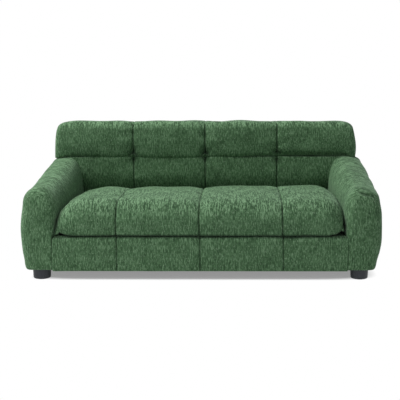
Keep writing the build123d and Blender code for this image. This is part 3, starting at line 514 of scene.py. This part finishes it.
# Arms: what both share, then the fullness and creases of each
arm = {
    "innerX": 484, "crestX": 532, "sideX": 594, "bellyX": 603.5, "footX": 586, "bottom": 29.5, "lowZ": 60,
    "innerSwell": 8, "innerDrop": 92, "outerDrop": (54, 42), "swellFrom": (178, 60),
    "innerPower": 2.1, "outerPower": (2.25, 2.85), "lowCornerPower": 1.55, "bellyPower": 3,
    "easedFrom": (540, 25), "easings": 14,
    "frontCrest": 301, "rearCrest": 380, "crestSag": 6, "slopeStart": -280,
    "front": -320.5, "frontRadius": 94, "rear": 187.7, "faceMiddle": (541, 134), "facePower": 3.9,
    "lowPower": 0.1, "tightPower": 0.25, "tightFrom": (150, 60), "rimShare": 0.84,
    "outerFrom": (540, 50), "lowFullFrom": (50, 90), "highFullFrom": (180, 170), "topLiftFrom": (290, 80),
    "shoulder": (310, 46), "shoulderBack": (-290, 120), "shoulderLeast": 0.25,
    "waves": (130, 0.7), "waveSlant": 0.8, "fineWaves": (55, 0.2), "creaseBack": 70,
    # wallShade is painted shade on the inner wall by the cushion's lower corner
    "wallShade": 0.8, "wallHeight": (160, 24), "wallBack": (-240, 80), "wallWidth": 5,
    "calmFoot": 30, "calmInner": 12, "innerLeast": 0.15, "clearance": 0.1,
    "seamX": 490.6, "seamRadius": 4, "seamTop": (146, 30), "seamBack": (-312, 14), "seamWidth": 2.2,
    "seamDark": -300, "counts": {"underside": 14, "quarter": 29, "belly": 44, "inner": 36, "face": 60, "depth": 92},
    "rearShares": (0.9, 0.7, 0.45, 0.2),
}
# seamShade is the painted shade along the seam beside the base's front
rightArm = {
    "side": 1, "lowFull": 6, "highFull": 3, "shoulderFull": 7, "topLift": 6, "seamShade": 0.2, "seed": 51,
    "creases": (  # place across and up, tilt, length, width, depth and painted shade of each
        (549, 286, -0.26, 28, 5, 7, 0.7), (536, 255, -0.9, 22, 7, 1.5, 0.1), (583, 268, -1.0, 16, 6, 2.0, 0.15)),
}
leftArm = {
    "side": -1, "lowFull": 0, "highFull": 0, "shoulderFull": 4, "topLift": 0, "seamShade": 0.6, "seed": 61,
    "creases": ((545, 274, 0.25, 30, 9, 1.8, 0.1),),
}


def armOutline(crest, along):
    # the arm seen from the front: a quarter superellipse each way from the crest, a bellied outer side
    # the belly is a third power between the upper and lower corner; the low corner is a slack superellipse
    # the inner side swells by a smooth step above the seat
    # rounds of averaging neighbours then ease the outer side's corners
    counts = arm["counts"]
    quarter = np.linspace(0, quarterTurn, counts["quarter"])
    crest = crest[:, None]
    flat = np.zeros_like(crest)
    outerDrop = np.interp(along, (0, 1), arm["outerDrop"])[:, None]
    underside = np.linspace(arm["innerX"], arm["footX"], counts["underside"])[:-1]
    lowX = arm["footX"] + (arm["sideX"] - arm["footX"]) * np.sin(quarter[::2]) ** arm["lowCornerPower"]
    lowZ = arm["lowZ"] - (arm["lowZ"] - arm["bottom"]) * np.cos(quarter[::2]) ** arm["lowCornerPower"]
    share = np.linspace(0, 1, counts["belly"])[1:-1]
    bellied = 1 - np.abs(2 * share - 1) ** arm["bellyPower"]
    bellyX = arm["sideX"] + (arm["bellyX"] - arm["sideX"]) * bellied
    bellyZ = arm["lowZ"] + (crest - outerDrop - arm["lowZ"]) * share
    frontPower, rearPower = arm["outerPower"]
    squareness = 2 / (frontPower + (rearPower - frontPower) * along[:, None] ** 2)
    outerX = arm["crestX"] + (arm["sideX"] - arm["crestX"]) * np.cos(quarter) ** squareness
    outerZ = crest - outerDrop * (1 - np.sin(quarter) ** squareness)
    innerTop = crest - arm["innerDrop"]
    down = np.linspace(1, 0, counts["inner"])[1:-1]
    innerLineZ = arm["bottom"] + (innerTop - arm["bottom"]) * down
    innerLineX, innerTopX = [arm["innerX"] - arm["innerSwell"] * smooth(height, *arm["swellFrom"])
                             for height in (innerLineZ, innerTop)]
    innerX = arm["crestX"] - (arm["crestX"] - innerTopX) * np.sin(quarter[1:]) ** (2 / arm["innerPower"])
    innerZ = crest - arm["innerDrop"] * (1 - np.cos(quarter[1:]) ** (2 / arm["innerPower"]))
    undersideZ = np.full(len(underside), arm["bottom"])
    x = np.concatenate([flat + underside, flat + lowX, flat + bellyX, flat + outerX, innerX, innerLineX], 1)
    z = np.concatenate([flat + undersideZ, flat + lowZ, bellyZ, outerZ, innerZ, innerLineZ], 1)
    eased = smooth(x, *arm["easedFrom"])
    for _ in range(arm["easings"]):
        x, z = [line + eased * (np.roll(line, 1, 1) + np.roll(line, -1, 1) - 2 * line) / 4 for line in (x, z)]
    return x, z


def armRings():
    # body: the outline at each depth, its crest on a slope that sags by a parabola
    # face: the outline drawn together to its middle on a dome of the given power, less at the foot and by the seat
    depth = np.linspace(arm["front"] + arm["frontRadius"], arm["rear"], arm["counts"]["depth"])
    along = np.clip((depth - arm["slopeStart"]) / (arm["rear"] - arm["slopeStart"]), 0, 1)
    x, z = armOutline(arm["frontCrest"] + (arm["rearCrest"] - arm["frontCrest"]) * along
                      - 4 * arm["crestSag"] * along * (1 - along), along)
    body = np.stack([x, np.broadcast_to(depth[:, None], x.shape), z], -1)
    shares = np.cos(np.linspace(quarterTurn, 0, arm["counts"]["face"])[1:-1])[:, None]
    middleX, middleZ = arm["faceMiddle"]
    rise, reach = z[:1] - middleZ, x[:1] - middleX
    tight = arm["tightPower"] + (1 - arm["tightPower"]) * smooth(z[:1], *arm["tightFrom"])
    drawnZ = np.where(rise < 0, shares ** arm["lowPower"], shares)
    drawnX = np.where(reach < 0, shares ** tight, shares)
    dome = 1 - (1 - shares ** arm["facePower"]) ** (1 / arm["facePower"])
    faceY = arm["front"] + arm["frontRadius"] * dome
    face = np.stack(np.broadcast_arrays(middleX + reach * drawnX, faceY, middleZ + rise * drawnZ), -1)
    return np.concatenate([face, body]), lengths(body[0][:, ::2]), shares[:, 0]


def armCloth(rings, walked, shares, side):
    # on the face the cloth lies flat; from the rim back it is measured round the outline and along each line
    rimRow = int(np.searchsorted(shares, arm["rimShare"]))
    faceRows, rearRow = len(shares), len(shares) + arm["counts"]["depth"] - 1
    bodyWalk = walked if side > 0 else walked[-1] - walked[::-1]
    steps = np.linalg.norm(np.diff(wrap(rings)[rimRow:rearRow + 1], axis=0), axis=2)
    backWalk = np.concatenate([np.zeros_like(steps[:1]), np.cumsum(steps, 0)])
    backWalk = backWalk - backWalk[faceRows - rimRow]
    sideCloth = np.stack(np.broadcast_arrays(backWalk, bodyWalk), -1)
    faceCloth = wrap(rings)[..., ::2]
    return [(0, rimRow, faceCloth[:rimRow + 1]), (rimRow, rearRow, sideCloth),
            (rearRow, len(rings) - 1, faceCloth[rearRow:])]


def armPiece(name, own):
    # smooth steps and a bell fill out the outer side, and each crease is a bell along and across a tilted line that
    # sinks the cloth and darkens it with painted shade
    rings, walked, shares = armRings()
    across, back, height = rings[..., 0], rings[..., 1], rings[..., 2]
    least = arm["shoulderLeast"]
    shoulder = bell(height, *arm["shoulder"]) * (least + (1 - least) * smooth(back, *arm["shoulderBack"]))
    rings[..., 0] += smooth(across, *arm["outerFrom"]) * (own["lowFull"] * smooth(height, *arm["lowFullFrom"])
                                                          + own["highFull"] * smooth(height, *arm["highFullFrom"])
                                                          + own["shoulderFull"] * shoulder)
    rings[..., 2] += own["topLift"] * smooth(height, *arm["topLiftFrom"])
    (waveSize, waveDepth), (fineSize, fineDepth) = arm["waves"], arm["fineWaves"]
    lift = ripple(back * arm["waveSlant"] + across, height, waveSize, own["seed"]) * waveDepth
    lift = lift + ripple(back, across + height, fineSize, own["seed"] + 1) * fineDepth
    crease = np.zeros(rings.shape[:2])
    for creaseX, creaseZ, tilt, reach, width, sink, shade in own["creases"]:
        alongCrease = (across - creaseX) * math.cos(tilt) + (height - creaseZ) * math.sin(tilt)
        acrossCrease = (height - creaseZ) * math.cos(tilt) - (across - creaseX) * math.sin(tilt)
        line = (np.exp(-(alongCrease / reach) ** 2 - (acrossCrease / width) ** 2)
                * bell(back, arm["front"], arm["creaseBack"]))
        lift = lift - sink * line
        crease = crease + shade * line
    # painted shade on the inner wall, where the cushion's lower corner meets it and shade falls
    wall = 1 - smooth(across, arm["innerX"], arm["wallWidth"])
    crease = crease + arm["wallShade"] * wall * (bell(height, *arm["wallHeight"])
                                                 * (1 - smooth(back, *arm["wallBack"])))
    upper = np.clip((height - arm["bottom"]) / arm["calmFoot"], 0, 1)
    inner = np.clip((across - arm["innerX"]) / arm["calmInner"], arm["innerLeast"], 1)
    rings = pushOut(rings, lift * upper * inner)
    innerLimit = arm["innerX"] + arm["clearance"]
    rings[..., 0] = np.maximum(rings[..., 0], innerLimit
                               - (arm["innerSwell"] + 1) * smooth(rings[..., 2], *arm["swellFrom"]))
    # beside the base's front the inner edge stands back and rounds over on a quarter circle, so a seam shows
    nose = np.clip((arm["front"] + arm["seamRadius"] - rings[..., 1]) / arm["seamRadius"], 0, 1)
    edge = ((arm["seamX"] - arm["innerX"]) * (1 - smooth(rings[..., 1], *arm["seamBack"]))
            + arm["seamRadius"] * (1 - np.sqrt(1 - nose ** 2)))
    beside = 1 - smooth(rings[..., 2], *arm["seamTop"])
    rings[..., 0] = np.maximum(rings[..., 0], (innerLimit + edge) * beside)
    # painted shade along the seam beside the base's front
    seamLine = bell(rings[..., 0], arm["seamX"], arm["seamWidth"]) * (rings[..., 1] < arm["seamDark"])
    crease = crease + own["seamShade"] * beside * seamLine
    rings = np.concatenate([rings, capRings(rings[-1], (0, 1, 0), 0, arm["rearShares"])])
    crease = np.pad(crease, ((0, len(arm["rearShares"])), (0, 0)))
    if own["side"] < 0:
        rings, crease = rings[:, ::-1] * (-1, 1, 1), crease[:, ::-1]
    return closedSkin(name, rings, armCloth(rings, walked, shares, own["side"]), crease)


dress(armPiece("rightArm", rightArm), "sofa", "green_fabric", "right_arm_cover", fill=0.8)
dress(armPiece("leftArm", leftArm), "sofa", "green_fabric", "left_arm_cover", fill=0.8)
print("arms made")

# Padded rear and ends of the backrest: a rounded band carried round the back in plan
rearCover = {
    "halfWidth": 577, "rear": 320, "corner": 28, "front": 188, "innerX": 552.4, "frameX": 560.8, "frameY": 286.8,
    "stepY": 226.4, "bottom": 33, "top": 381.7, "edge": 4, "swell": 2.5, "seed": 71,
    "waves": (140, 0.8), "calm": (40, 20), "sink": 0.4, "endShares": (0.85, 0.6, 0.3),
    "counts": {"end": 16, "corner": 10, "rear": 70, "edge": 7, "face": 40, "inside": 8}, "clothRow": 40,
}


def rearPiece():
    # plan: up one end, a quarter circle, along the rear and down the other end
    # section: an upright band with quarter-circle edges, swelling by a parabola, closed along the frame inside
    cover, counts = rearCover, rearCover["counts"]
    cornerX, cornerY = cover["halfWidth"] - cover["corner"], cover["rear"] - cover["corner"]
    end = np.linspace(cover["front"], cornerY, counts["end"])
    turn = np.linspace(0, quarterTurn, counts["corner"])[1:]
    rear = np.linspace(cornerX, 0, counts["rear"])[1:]
    half = np.concatenate([
        np.stack([np.full(len(end), cover["halfWidth"]), end], -1),
        np.stack([cornerX + cover["corner"] * np.cos(turn), cornerY + cover["corner"] * np.sin(turn)], -1),
        np.stack([rear, np.full(len(rear), cover["rear"])], -1)])
    outer = np.concatenate([half, half[-2::-1] * (-1, 1)])
    frameX = np.where(outer[:, 1] < cover["stepY"], cover["innerX"], cover["frameX"])
    inner = np.stack([np.sign(outer[:, 0]) * np.minimum(np.abs(outer[:, 0]), frameX),
                      np.minimum(outer[:, 1], cover["frameY"])], -1)
    arc = np.linspace(0, quarterTurn, counts["edge"])
    rise = np.linspace(0, 1, counts["face"])[1:-1]
    low, high, edge = cover["bottom"], cover["top"], cover["edge"]
    reach = np.concatenate([edge * (1 - np.sin(arc)), np.zeros(len(rise)), edge * (1 - np.cos(arc))])
    height = np.concatenate([low + edge * (1 - np.cos(arc)), low + edge + (high - low - 2 * edge) * rise,
                             high - edge * (1 - np.sin(arc))])
    outward = outer - inner
    outward = outward / np.linalg.norm(outward, axis=1, keepdims=True)
    swell = cover["swell"] * (1 - (2 * (height - low) / (high - low) - 1) ** 2) - cover["swell"]
    walked = lengths(outer)[:-1]
    skin = outer[:, None] - outward[:, None] * (reach - swell)[None, :, None]
    skin = np.concatenate([skin, np.broadcast_to(height[None, :, None], (len(outer), len(height), 1))], -1)
    back = np.linspace(high, low, counts["inside"])
    inside = np.concatenate([np.broadcast_to(inner[:, None], (len(outer), len(back), 2)),
                             np.broadcast_to(back[None, :, None], (len(outer), len(back), 1))], -1)
    rings = np.concatenate([skin, inside], 1)
    around = lengths(rings[cover["clothRow"]])
    waveSize, waveDepth = cover["waves"]
    lift = ripple(walked[:, None], around[None, :-1], waveSize, cover["seed"]) * waveDepth
    lift[:, len(height):] = 0
    calmLow, calmHigh = cover["calm"]
    lift = lift * np.clip((rings[..., 2] - low) / calmLow, 0, 1) * np.clip((high - rings[..., 2]) / calmHigh, 0, 1)
    rings = pushOut(rings, lift - cover["sink"])
    ends = cover["endShares"]
    rings = np.concatenate([capRings(rings[0], (0, 0, 0), 0, ends)[::-1], rings,
                            capRings(rings[-1], (0, 0, 0), 0, ends)])
    cloth = np.stack(np.broadcast_arrays(walked[:, None], around), -1)
    endCloth = wrap(rings)[..., ::2]
    start, stop = len(ends), len(ends) + len(outer) - 1
    bands = [(0, start, endCloth[:start + 1]), (start, stop, cloth), (stop, len(rings) - 1, endCloth[stop:])]
    return closedSkin("rearCover", rings, bands, np.zeros(rings.shape[:2]))


dress(rearPiece(), "sofa", "green_fabric", "back_rear_cover", fill=0.8)
print("rear of the backrest made")


# Finishes of the frame, feet and fasteners, on the part's own pieces. Lengths in them are metres.
noiseSpan = (0.3, 0.7)  # nearly all values of a noise lie between these
board = {"roughness": 0.62, "ringsTighter": 7, "shares": (0.6, 0.4), "paleAt": 0.55, "brighter": 1.15,
         "bump": (0.2, 0.0004)}


def boardFinish(name, pale, dark, grain):
    finish = Finish(name, {"Roughness": board["roughness"]})
    wander = finish.noise(finish.place("Object", grain), 3, 0.6)
    ring = finish.noise(finish.place("Object", tuple(board["ringsTighter"] * stretch for stretch in grain)), 2, 0.6)
    tone = finish.spread(wander * board["shares"][0] + ring * board["shares"][1], *noiseSpan)
    bright = tuple(min(1, board["brighter"] * channel) for channel in pale)
    finish.colour(finish.ramp(tone, ((0, dark), (board["paleAt"], pale), (1, bright))))
    finish.bump(ring, *board["bump"])
    return finish.material


plain = {"broader": 14, "shares": (0.6, 0.4), "glossier": 0.12, "glossSpan": 0.2, "bumpStrength": 0.5}


def plainFinish(name, base, shade, scale, depth, roughness):
    finish = Finish(name, {"Roughness": roughness})
    broadScale = scale / plain["broader"]
    grainy = finish.noise(finish.place("Object", (scale, scale, scale)), 4, 0.65)
    broad = finish.noise(finish.place("Object", (broadScale, broadScale, broadScale)), 2, 0.5)
    tone = grainy * plain["shares"][0] + broad * plain["shares"][1]
    finish.colour(finish.ramp(finish.spread(tone, *noiseSpan), ((0, shade), (1, base))))
    finish.roughness(roughness - plain["glossier"] + finish.spread(broad, *noiseSpan) * plain["glossSpan"])
    finish.bump(grainy, plain["bumpStrength"], depth)
    return finish.material


foot = {
    "grain": (900, 900, 900), "scuffs": (120, 120, 30), "scuffSpan": (0.5, 0.65), "scuffTop": 0.010,
    "scuffHeight": 0.008, "dark": (0.016, 0.019, 0.023), "pale": (0.027, 0.031, 0.037),
    "scuffed": (0.09, 0.09, 0.1, 1), "scuffShare": 0.5, "roughness": 0.42, "grainRough": 0.14, "scuffRough": 0.2,
    "bump": (0.25, 0.0003), "reflection": 0.4,
}


def footFinish():
    finish = Finish("mouldedFoot", {"Specular IOR Level": foot["reflection"]})
    grain = finish.noise(finish.place("Object", foot["grain"]), 3, 0.6)
    scuff = finish.noise(finish.place("Object", foot["scuffs"]), 3, 0.7)
    height = finish.part(finish.place("Object", (1, 1, 1)), 2)
    worn = finish.spread(foot["scuffTop"] - height, 0.0, foot["scuffHeight"]) * finish.spread(
        scuff, *foot["scuffSpan"])
    base = finish.ramp(finish.spread(grain, *noiseSpan), ((0, foot["dark"]), (1, foot["pale"])))
    finish.colour(finish.mixColour(worn * foot["scuffShare"], base, foot["scuffed"]))
    finish.roughness(foot["roughness"] + grain * foot["grainRough"] + worn * foot["scuffRough"])
    finish.bump(grain, *foot["bump"])
    return finish.material


# Thin spun cloth with a grid of pressed dots
dustCloth = {
    "roughness": 0.9, "dots": (330, 330, 330), "astray": 0.15, "dotEdge": (0.12, 0.3), "fibres": (1400, 500, 900),
    "dark": (0.2, (0.012, 0.012, 0.012)), "pale": (0.8, (0.045, 0.045, 0.046)), "bump": (0.4, 0.0004),
}


def dustClothFinish():
    finish = Finish("dustCloth", {"Roughness": dustCloth["roughness"]})
    cells = finish.node("ShaderNodeTexVoronoi", {"feature": "F1"}, {
        "Vector": finish.place("Object", dustCloth["dots"]), "Scale": 1.0, "Randomness": dustCloth["astray"]})
    dots = finish.spread(cells, *dustCloth["dotEdge"])
    fibre = finish.noise(finish.place("Object", dustCloth["fibres"]), 3, 0.7)
    finish.colour(finish.ramp(dots * 0.5 + fibre * 0.5, (dustCloth["dark"], dustCloth["pale"])))
    finish.bump(dots * 0.6 + fibre * 0.4, *dustCloth["bump"])
    return finish.material


# Woven tape: fine ribs along its length, with the coil's teeth across the raised middle
tape = {
    "roughness": 0.75, "toothWave": 4200, "ribWave": 5200, "middleZ": 0.168, "coilEdge": (0.0024, 0.0028),
    "ribShare": 0.2, "dark": (0.012, 0.030, 0.014), "pale": (0.075, 0.150, 0.085), "bump": (0.6, 0.0006),
}


def tapeFinish():
    finish = Finish("zipTape", {"Roughness": tape["roughness"]})
    spot = finish.place("Object", (1, 1, 1))
    x, z = finish.part(spot, 0), finish.part(spot, 2)
    tooth = finish.node("ShaderNodeMath", {"operation": "SINE"}, {0: x * tape["toothWave"]})
    rib = finish.node("ShaderNodeMath", {"operation": "SINE"}, {0: z * tape["ribWave"]})
    offMiddle = finish.node("ShaderNodeMath", {"operation": "ABSOLUTE"}, {0: z - tape["middleZ"]})
    coil = 1 - finish.spread(offMiddle, *tape["coilEdge"])
    tone = coil * (tooth * 0.5 + 0.5) + (1 - coil) * (rib * tape["ribShare"] + 0.5)
    finish.colour(finish.ramp(tone, ((0, tape["dark"]), (1, tape["pale"]))))
    finish.bump(tone, *tape["bump"])
    return finish.material


metal = {"brushing": (1500, 1500, 260), "darker": 0.75, "brushedRough": 0.18, "bump": (0.15, 0.0002)}


def metalFinish(name, base, roughness):
    finish = Finish(name, {"Metallic": 1.0})
    paintedPileGlint = finish.noise(finish.place("Object", metal["brushing"]), 3, 0.7)
    dark = tuple(metal["darker"] * channel for channel in base)
    finish.colour(finish.ramp(paintedPileGlint, ((noiseSpan[0], dark), (noiseSpan[1], base))))
    finish.roughness(roughness + paintedPileGlint * metal["brushedRough"])
    finish.bump(paintedPileGlint, *metal["bump"])
    return finish.material


finishes = {
    "green_fabric": plainFinish("backingCloth", (0.07, 0.16, 0.08), (0.03, 0.08, 0.035), 500, 0.0005, 0.9),
    "foam": plainFinish("foamBlock", (0.86, 0.80, 0.58), (0.74, 0.66, 0.42), 700, 0.0008, 0.88),
    "pine_board": boardFinish("pineBoard", (0.62, 0.42, 0.22), (0.44, 0.27, 0.12), (14, 60, 60)),
    "plywood": boardFinish("plywoodSheet", (0.60, 0.44, 0.26), (0.46, 0.31, 0.16), (10, 30, 320)),
    "hardboard": plainFinish("hardboardSheet", (0.22, 0.12, 0.06), (0.15, 0.08, 0.04), 600, 0.0003, 0.6),
    "dust_cloth": dustClothFinish(),
    "zinc_steel": metalFinish("zincSteel", (0.60, 0.62, 0.64), 0.28),
    "foot_plastic": footFinish(),
    "felt": plainFinish("pressedFelt", (0.05, 0.05, 0.05), (0.02, 0.02, 0.02), 1200, 0.0008, 0.95),
    "zip_tape": tapeFinish(),
    "zip_metal": metalFinish("darkNickel", (0.22, 0.22, 0.23), 0.3),
}
slotOf = {row["node"]: row["material_slot"] for row in frame["record"]["subparts"]}
for name, node in frame["nodes"].items():
    if node.type == "MESH":
        if not node.material_slots:
            node.data.materials.append(None)
        for slot in node.material_slots:
            slot.material = finishes[slotOf[name]]
print("frame, feet and fasteners finished")

# Floor, light and camera. Lengths are metres, and the light's strength is in watts.
stage = {
    "skyColour": (0.93, 0.96, 1.0, 1), "skyLight": 0.36, "floorSize": 14, "floorColour": (0.78, 0.78, 0.78, 1),
    "sofaStretch": (1.76, 3.3, 0), "whiteFrom": 0.85, "whiteBy": 1.3,  # where the floor turns white round the sofa
    "whiteShare": 0.285,  # the glow added to the matt floor round the sofa, as the camera sees it
    "lights": {
        "overhead": {"place": (-2.1, -0.55, 3.5), "aim": (0, 0, 0.3), "size": (2.4, 2.0), "watts": 174},
        "frontFill": {"place": (-0.6, -3.4, 1.7), "aim": (0, 0, 0.25), "size": (3.0, 1.6), "watts": 2},
    },
    "cameraPlace": (0.121, -3.013, 0.5856), "cameraTurn": (83.292, 0, 0.335), "sensorWidth": 36, "lens": 74.29,
    "cameraShift": -0.0793,
}


def whiteToCamera(nodes):
    # 1 for rays from the camera, glossy rays and rays through glass
    camera, glossy, glass = [nodes.node("ShaderNodeLightPath", {}, {}, f"Is {ray} Ray")
                             for ray in ("Camera", "Glossy", "Transmission")]
    return camera.combine("MAXIMUM", camera.combine("MAXIMUM", camera, glossy), glass)


world = bpy.data.worlds.new("studio")
bpy.context.scene.world = world
world.use_nodes = True
sky = Nodes(world.node_tree)
glowing = sky.tree.nodes["Background"]
sky.feed(glowing.inputs["Color"], stage["skyColour"])
sky.feed(glowing.inputs["Strength"], stage["skyLight"])
backdrop = sky.node("ShaderNodeBackground", {}, {"Color": (1, 1, 1, 1)})
seenSky = sky.node("ShaderNodeMixShader", {}, {0: whiteToCamera(sky), 1: Wire(sky, glowing.outputs[0]),
                                               2: backdrop})
sky.feed(sky.tree.nodes["World Output"].inputs[0], seenSky)

# The floor is matt round the sofa and plain white to the camera further away
floorMesh = bpy.data.meshes.new("floor")
half = stage["floorSize"] / 2
floorMesh.from_pydata([(-half, -half, 0), (half, -half, 0), (half, half, 0), (-half, half, 0)], [], [(0, 1, 2, 3)])
floor = bpy.data.objects.new("floor", floorMesh)
bpy.context.collection.objects.link(floor)
paint = Finish("paleFloor", {})
matt = paint.node("ShaderNodeBsdfDiffuse", {}, {"Color": stage["floorColour"]})
glow = paint.node("ShaderNodeEmission", {}, {"Strength": stage["whiteShare"]})
white = paint.node("ShaderNodeEmission", {}, {"Strength": 1})
power = paint.place("Object", stage["sofaStretch"])
for _ in range(2):  # squared twice, so lines of one distance are rounded oblongs
    power = paint.node("ShaderNodeVectorMath", {"operation": "MULTIPLY"}, {0: power, 1: power})
distance = paint.node("ShaderNodeVectorMath", {"operation": "LENGTH"}, {0: power}, "Value")
far = paint.node("ShaderNodeMapRange", {}, {"Value": distance, "From Min": stage["whiteFrom"],
                                            "From Max": stage["whiteBy"]})
lit = paint.node("ShaderNodeAddShader", {}, {0: matt, 1: glow})
fade = paint.node("ShaderNodeMixShader", {}, {0: far, 1: lit, 2: white})
seen = paint.node("ShaderNodeMixShader", {}, {0: whiteToCamera(paint), 1: matt, 2: fade})
below = paint.node("ShaderNodeNewGeometry", {}, {}, "Backfacing")  # from below, the underside can be seen
openFloor = paint.node("ShaderNodeBsdfTransparent", {}, {})
oneSided = paint.node("ShaderNodeMixShader", {}, {0: below, 1: seen, 2: openFloor})
paint.feed(paint.tree.nodes["Material Output"].inputs[0], oneSided)
floorMesh.materials.append(paint.material)

for name, box in stage["lights"].items():  # softboxes, turned towards their aim
    light = bpy.data.lights.new(name, "AREA")
    light.shape, light.size, light.size_y, light.energy = "RECTANGLE", *box["size"], box["watts"]
    lamp = bpy.data.objects.new(name, light)
    bpy.context.collection.objects.link(lamp)
    away = np.subtract(box["place"], box["aim"])
    lamp.location = box["place"]
    lamp.rotation_euler = (math.atan2(math.hypot(away[0], away[1]), away[2]), 0,
                           math.atan2(away[0], -away[1]))

camera = bpy.data.objects.new("camera", bpy.data.cameras.new("camera"))
bpy.context.collection.objects.link(camera)
camera.location = stage["cameraPlace"]
camera.rotation_euler = [math.radians(turn) for turn in stage["cameraTurn"]]
camera.data.sensor_width = stage["sensorWidth"]
camera.data.lens = stage["lens"]
camera.data.shift_x = stage["cameraShift"]
bpy.context.scene.camera = camera
bpy.context.scene.view_settings.view_transform = "Standard"

print("scene ready")
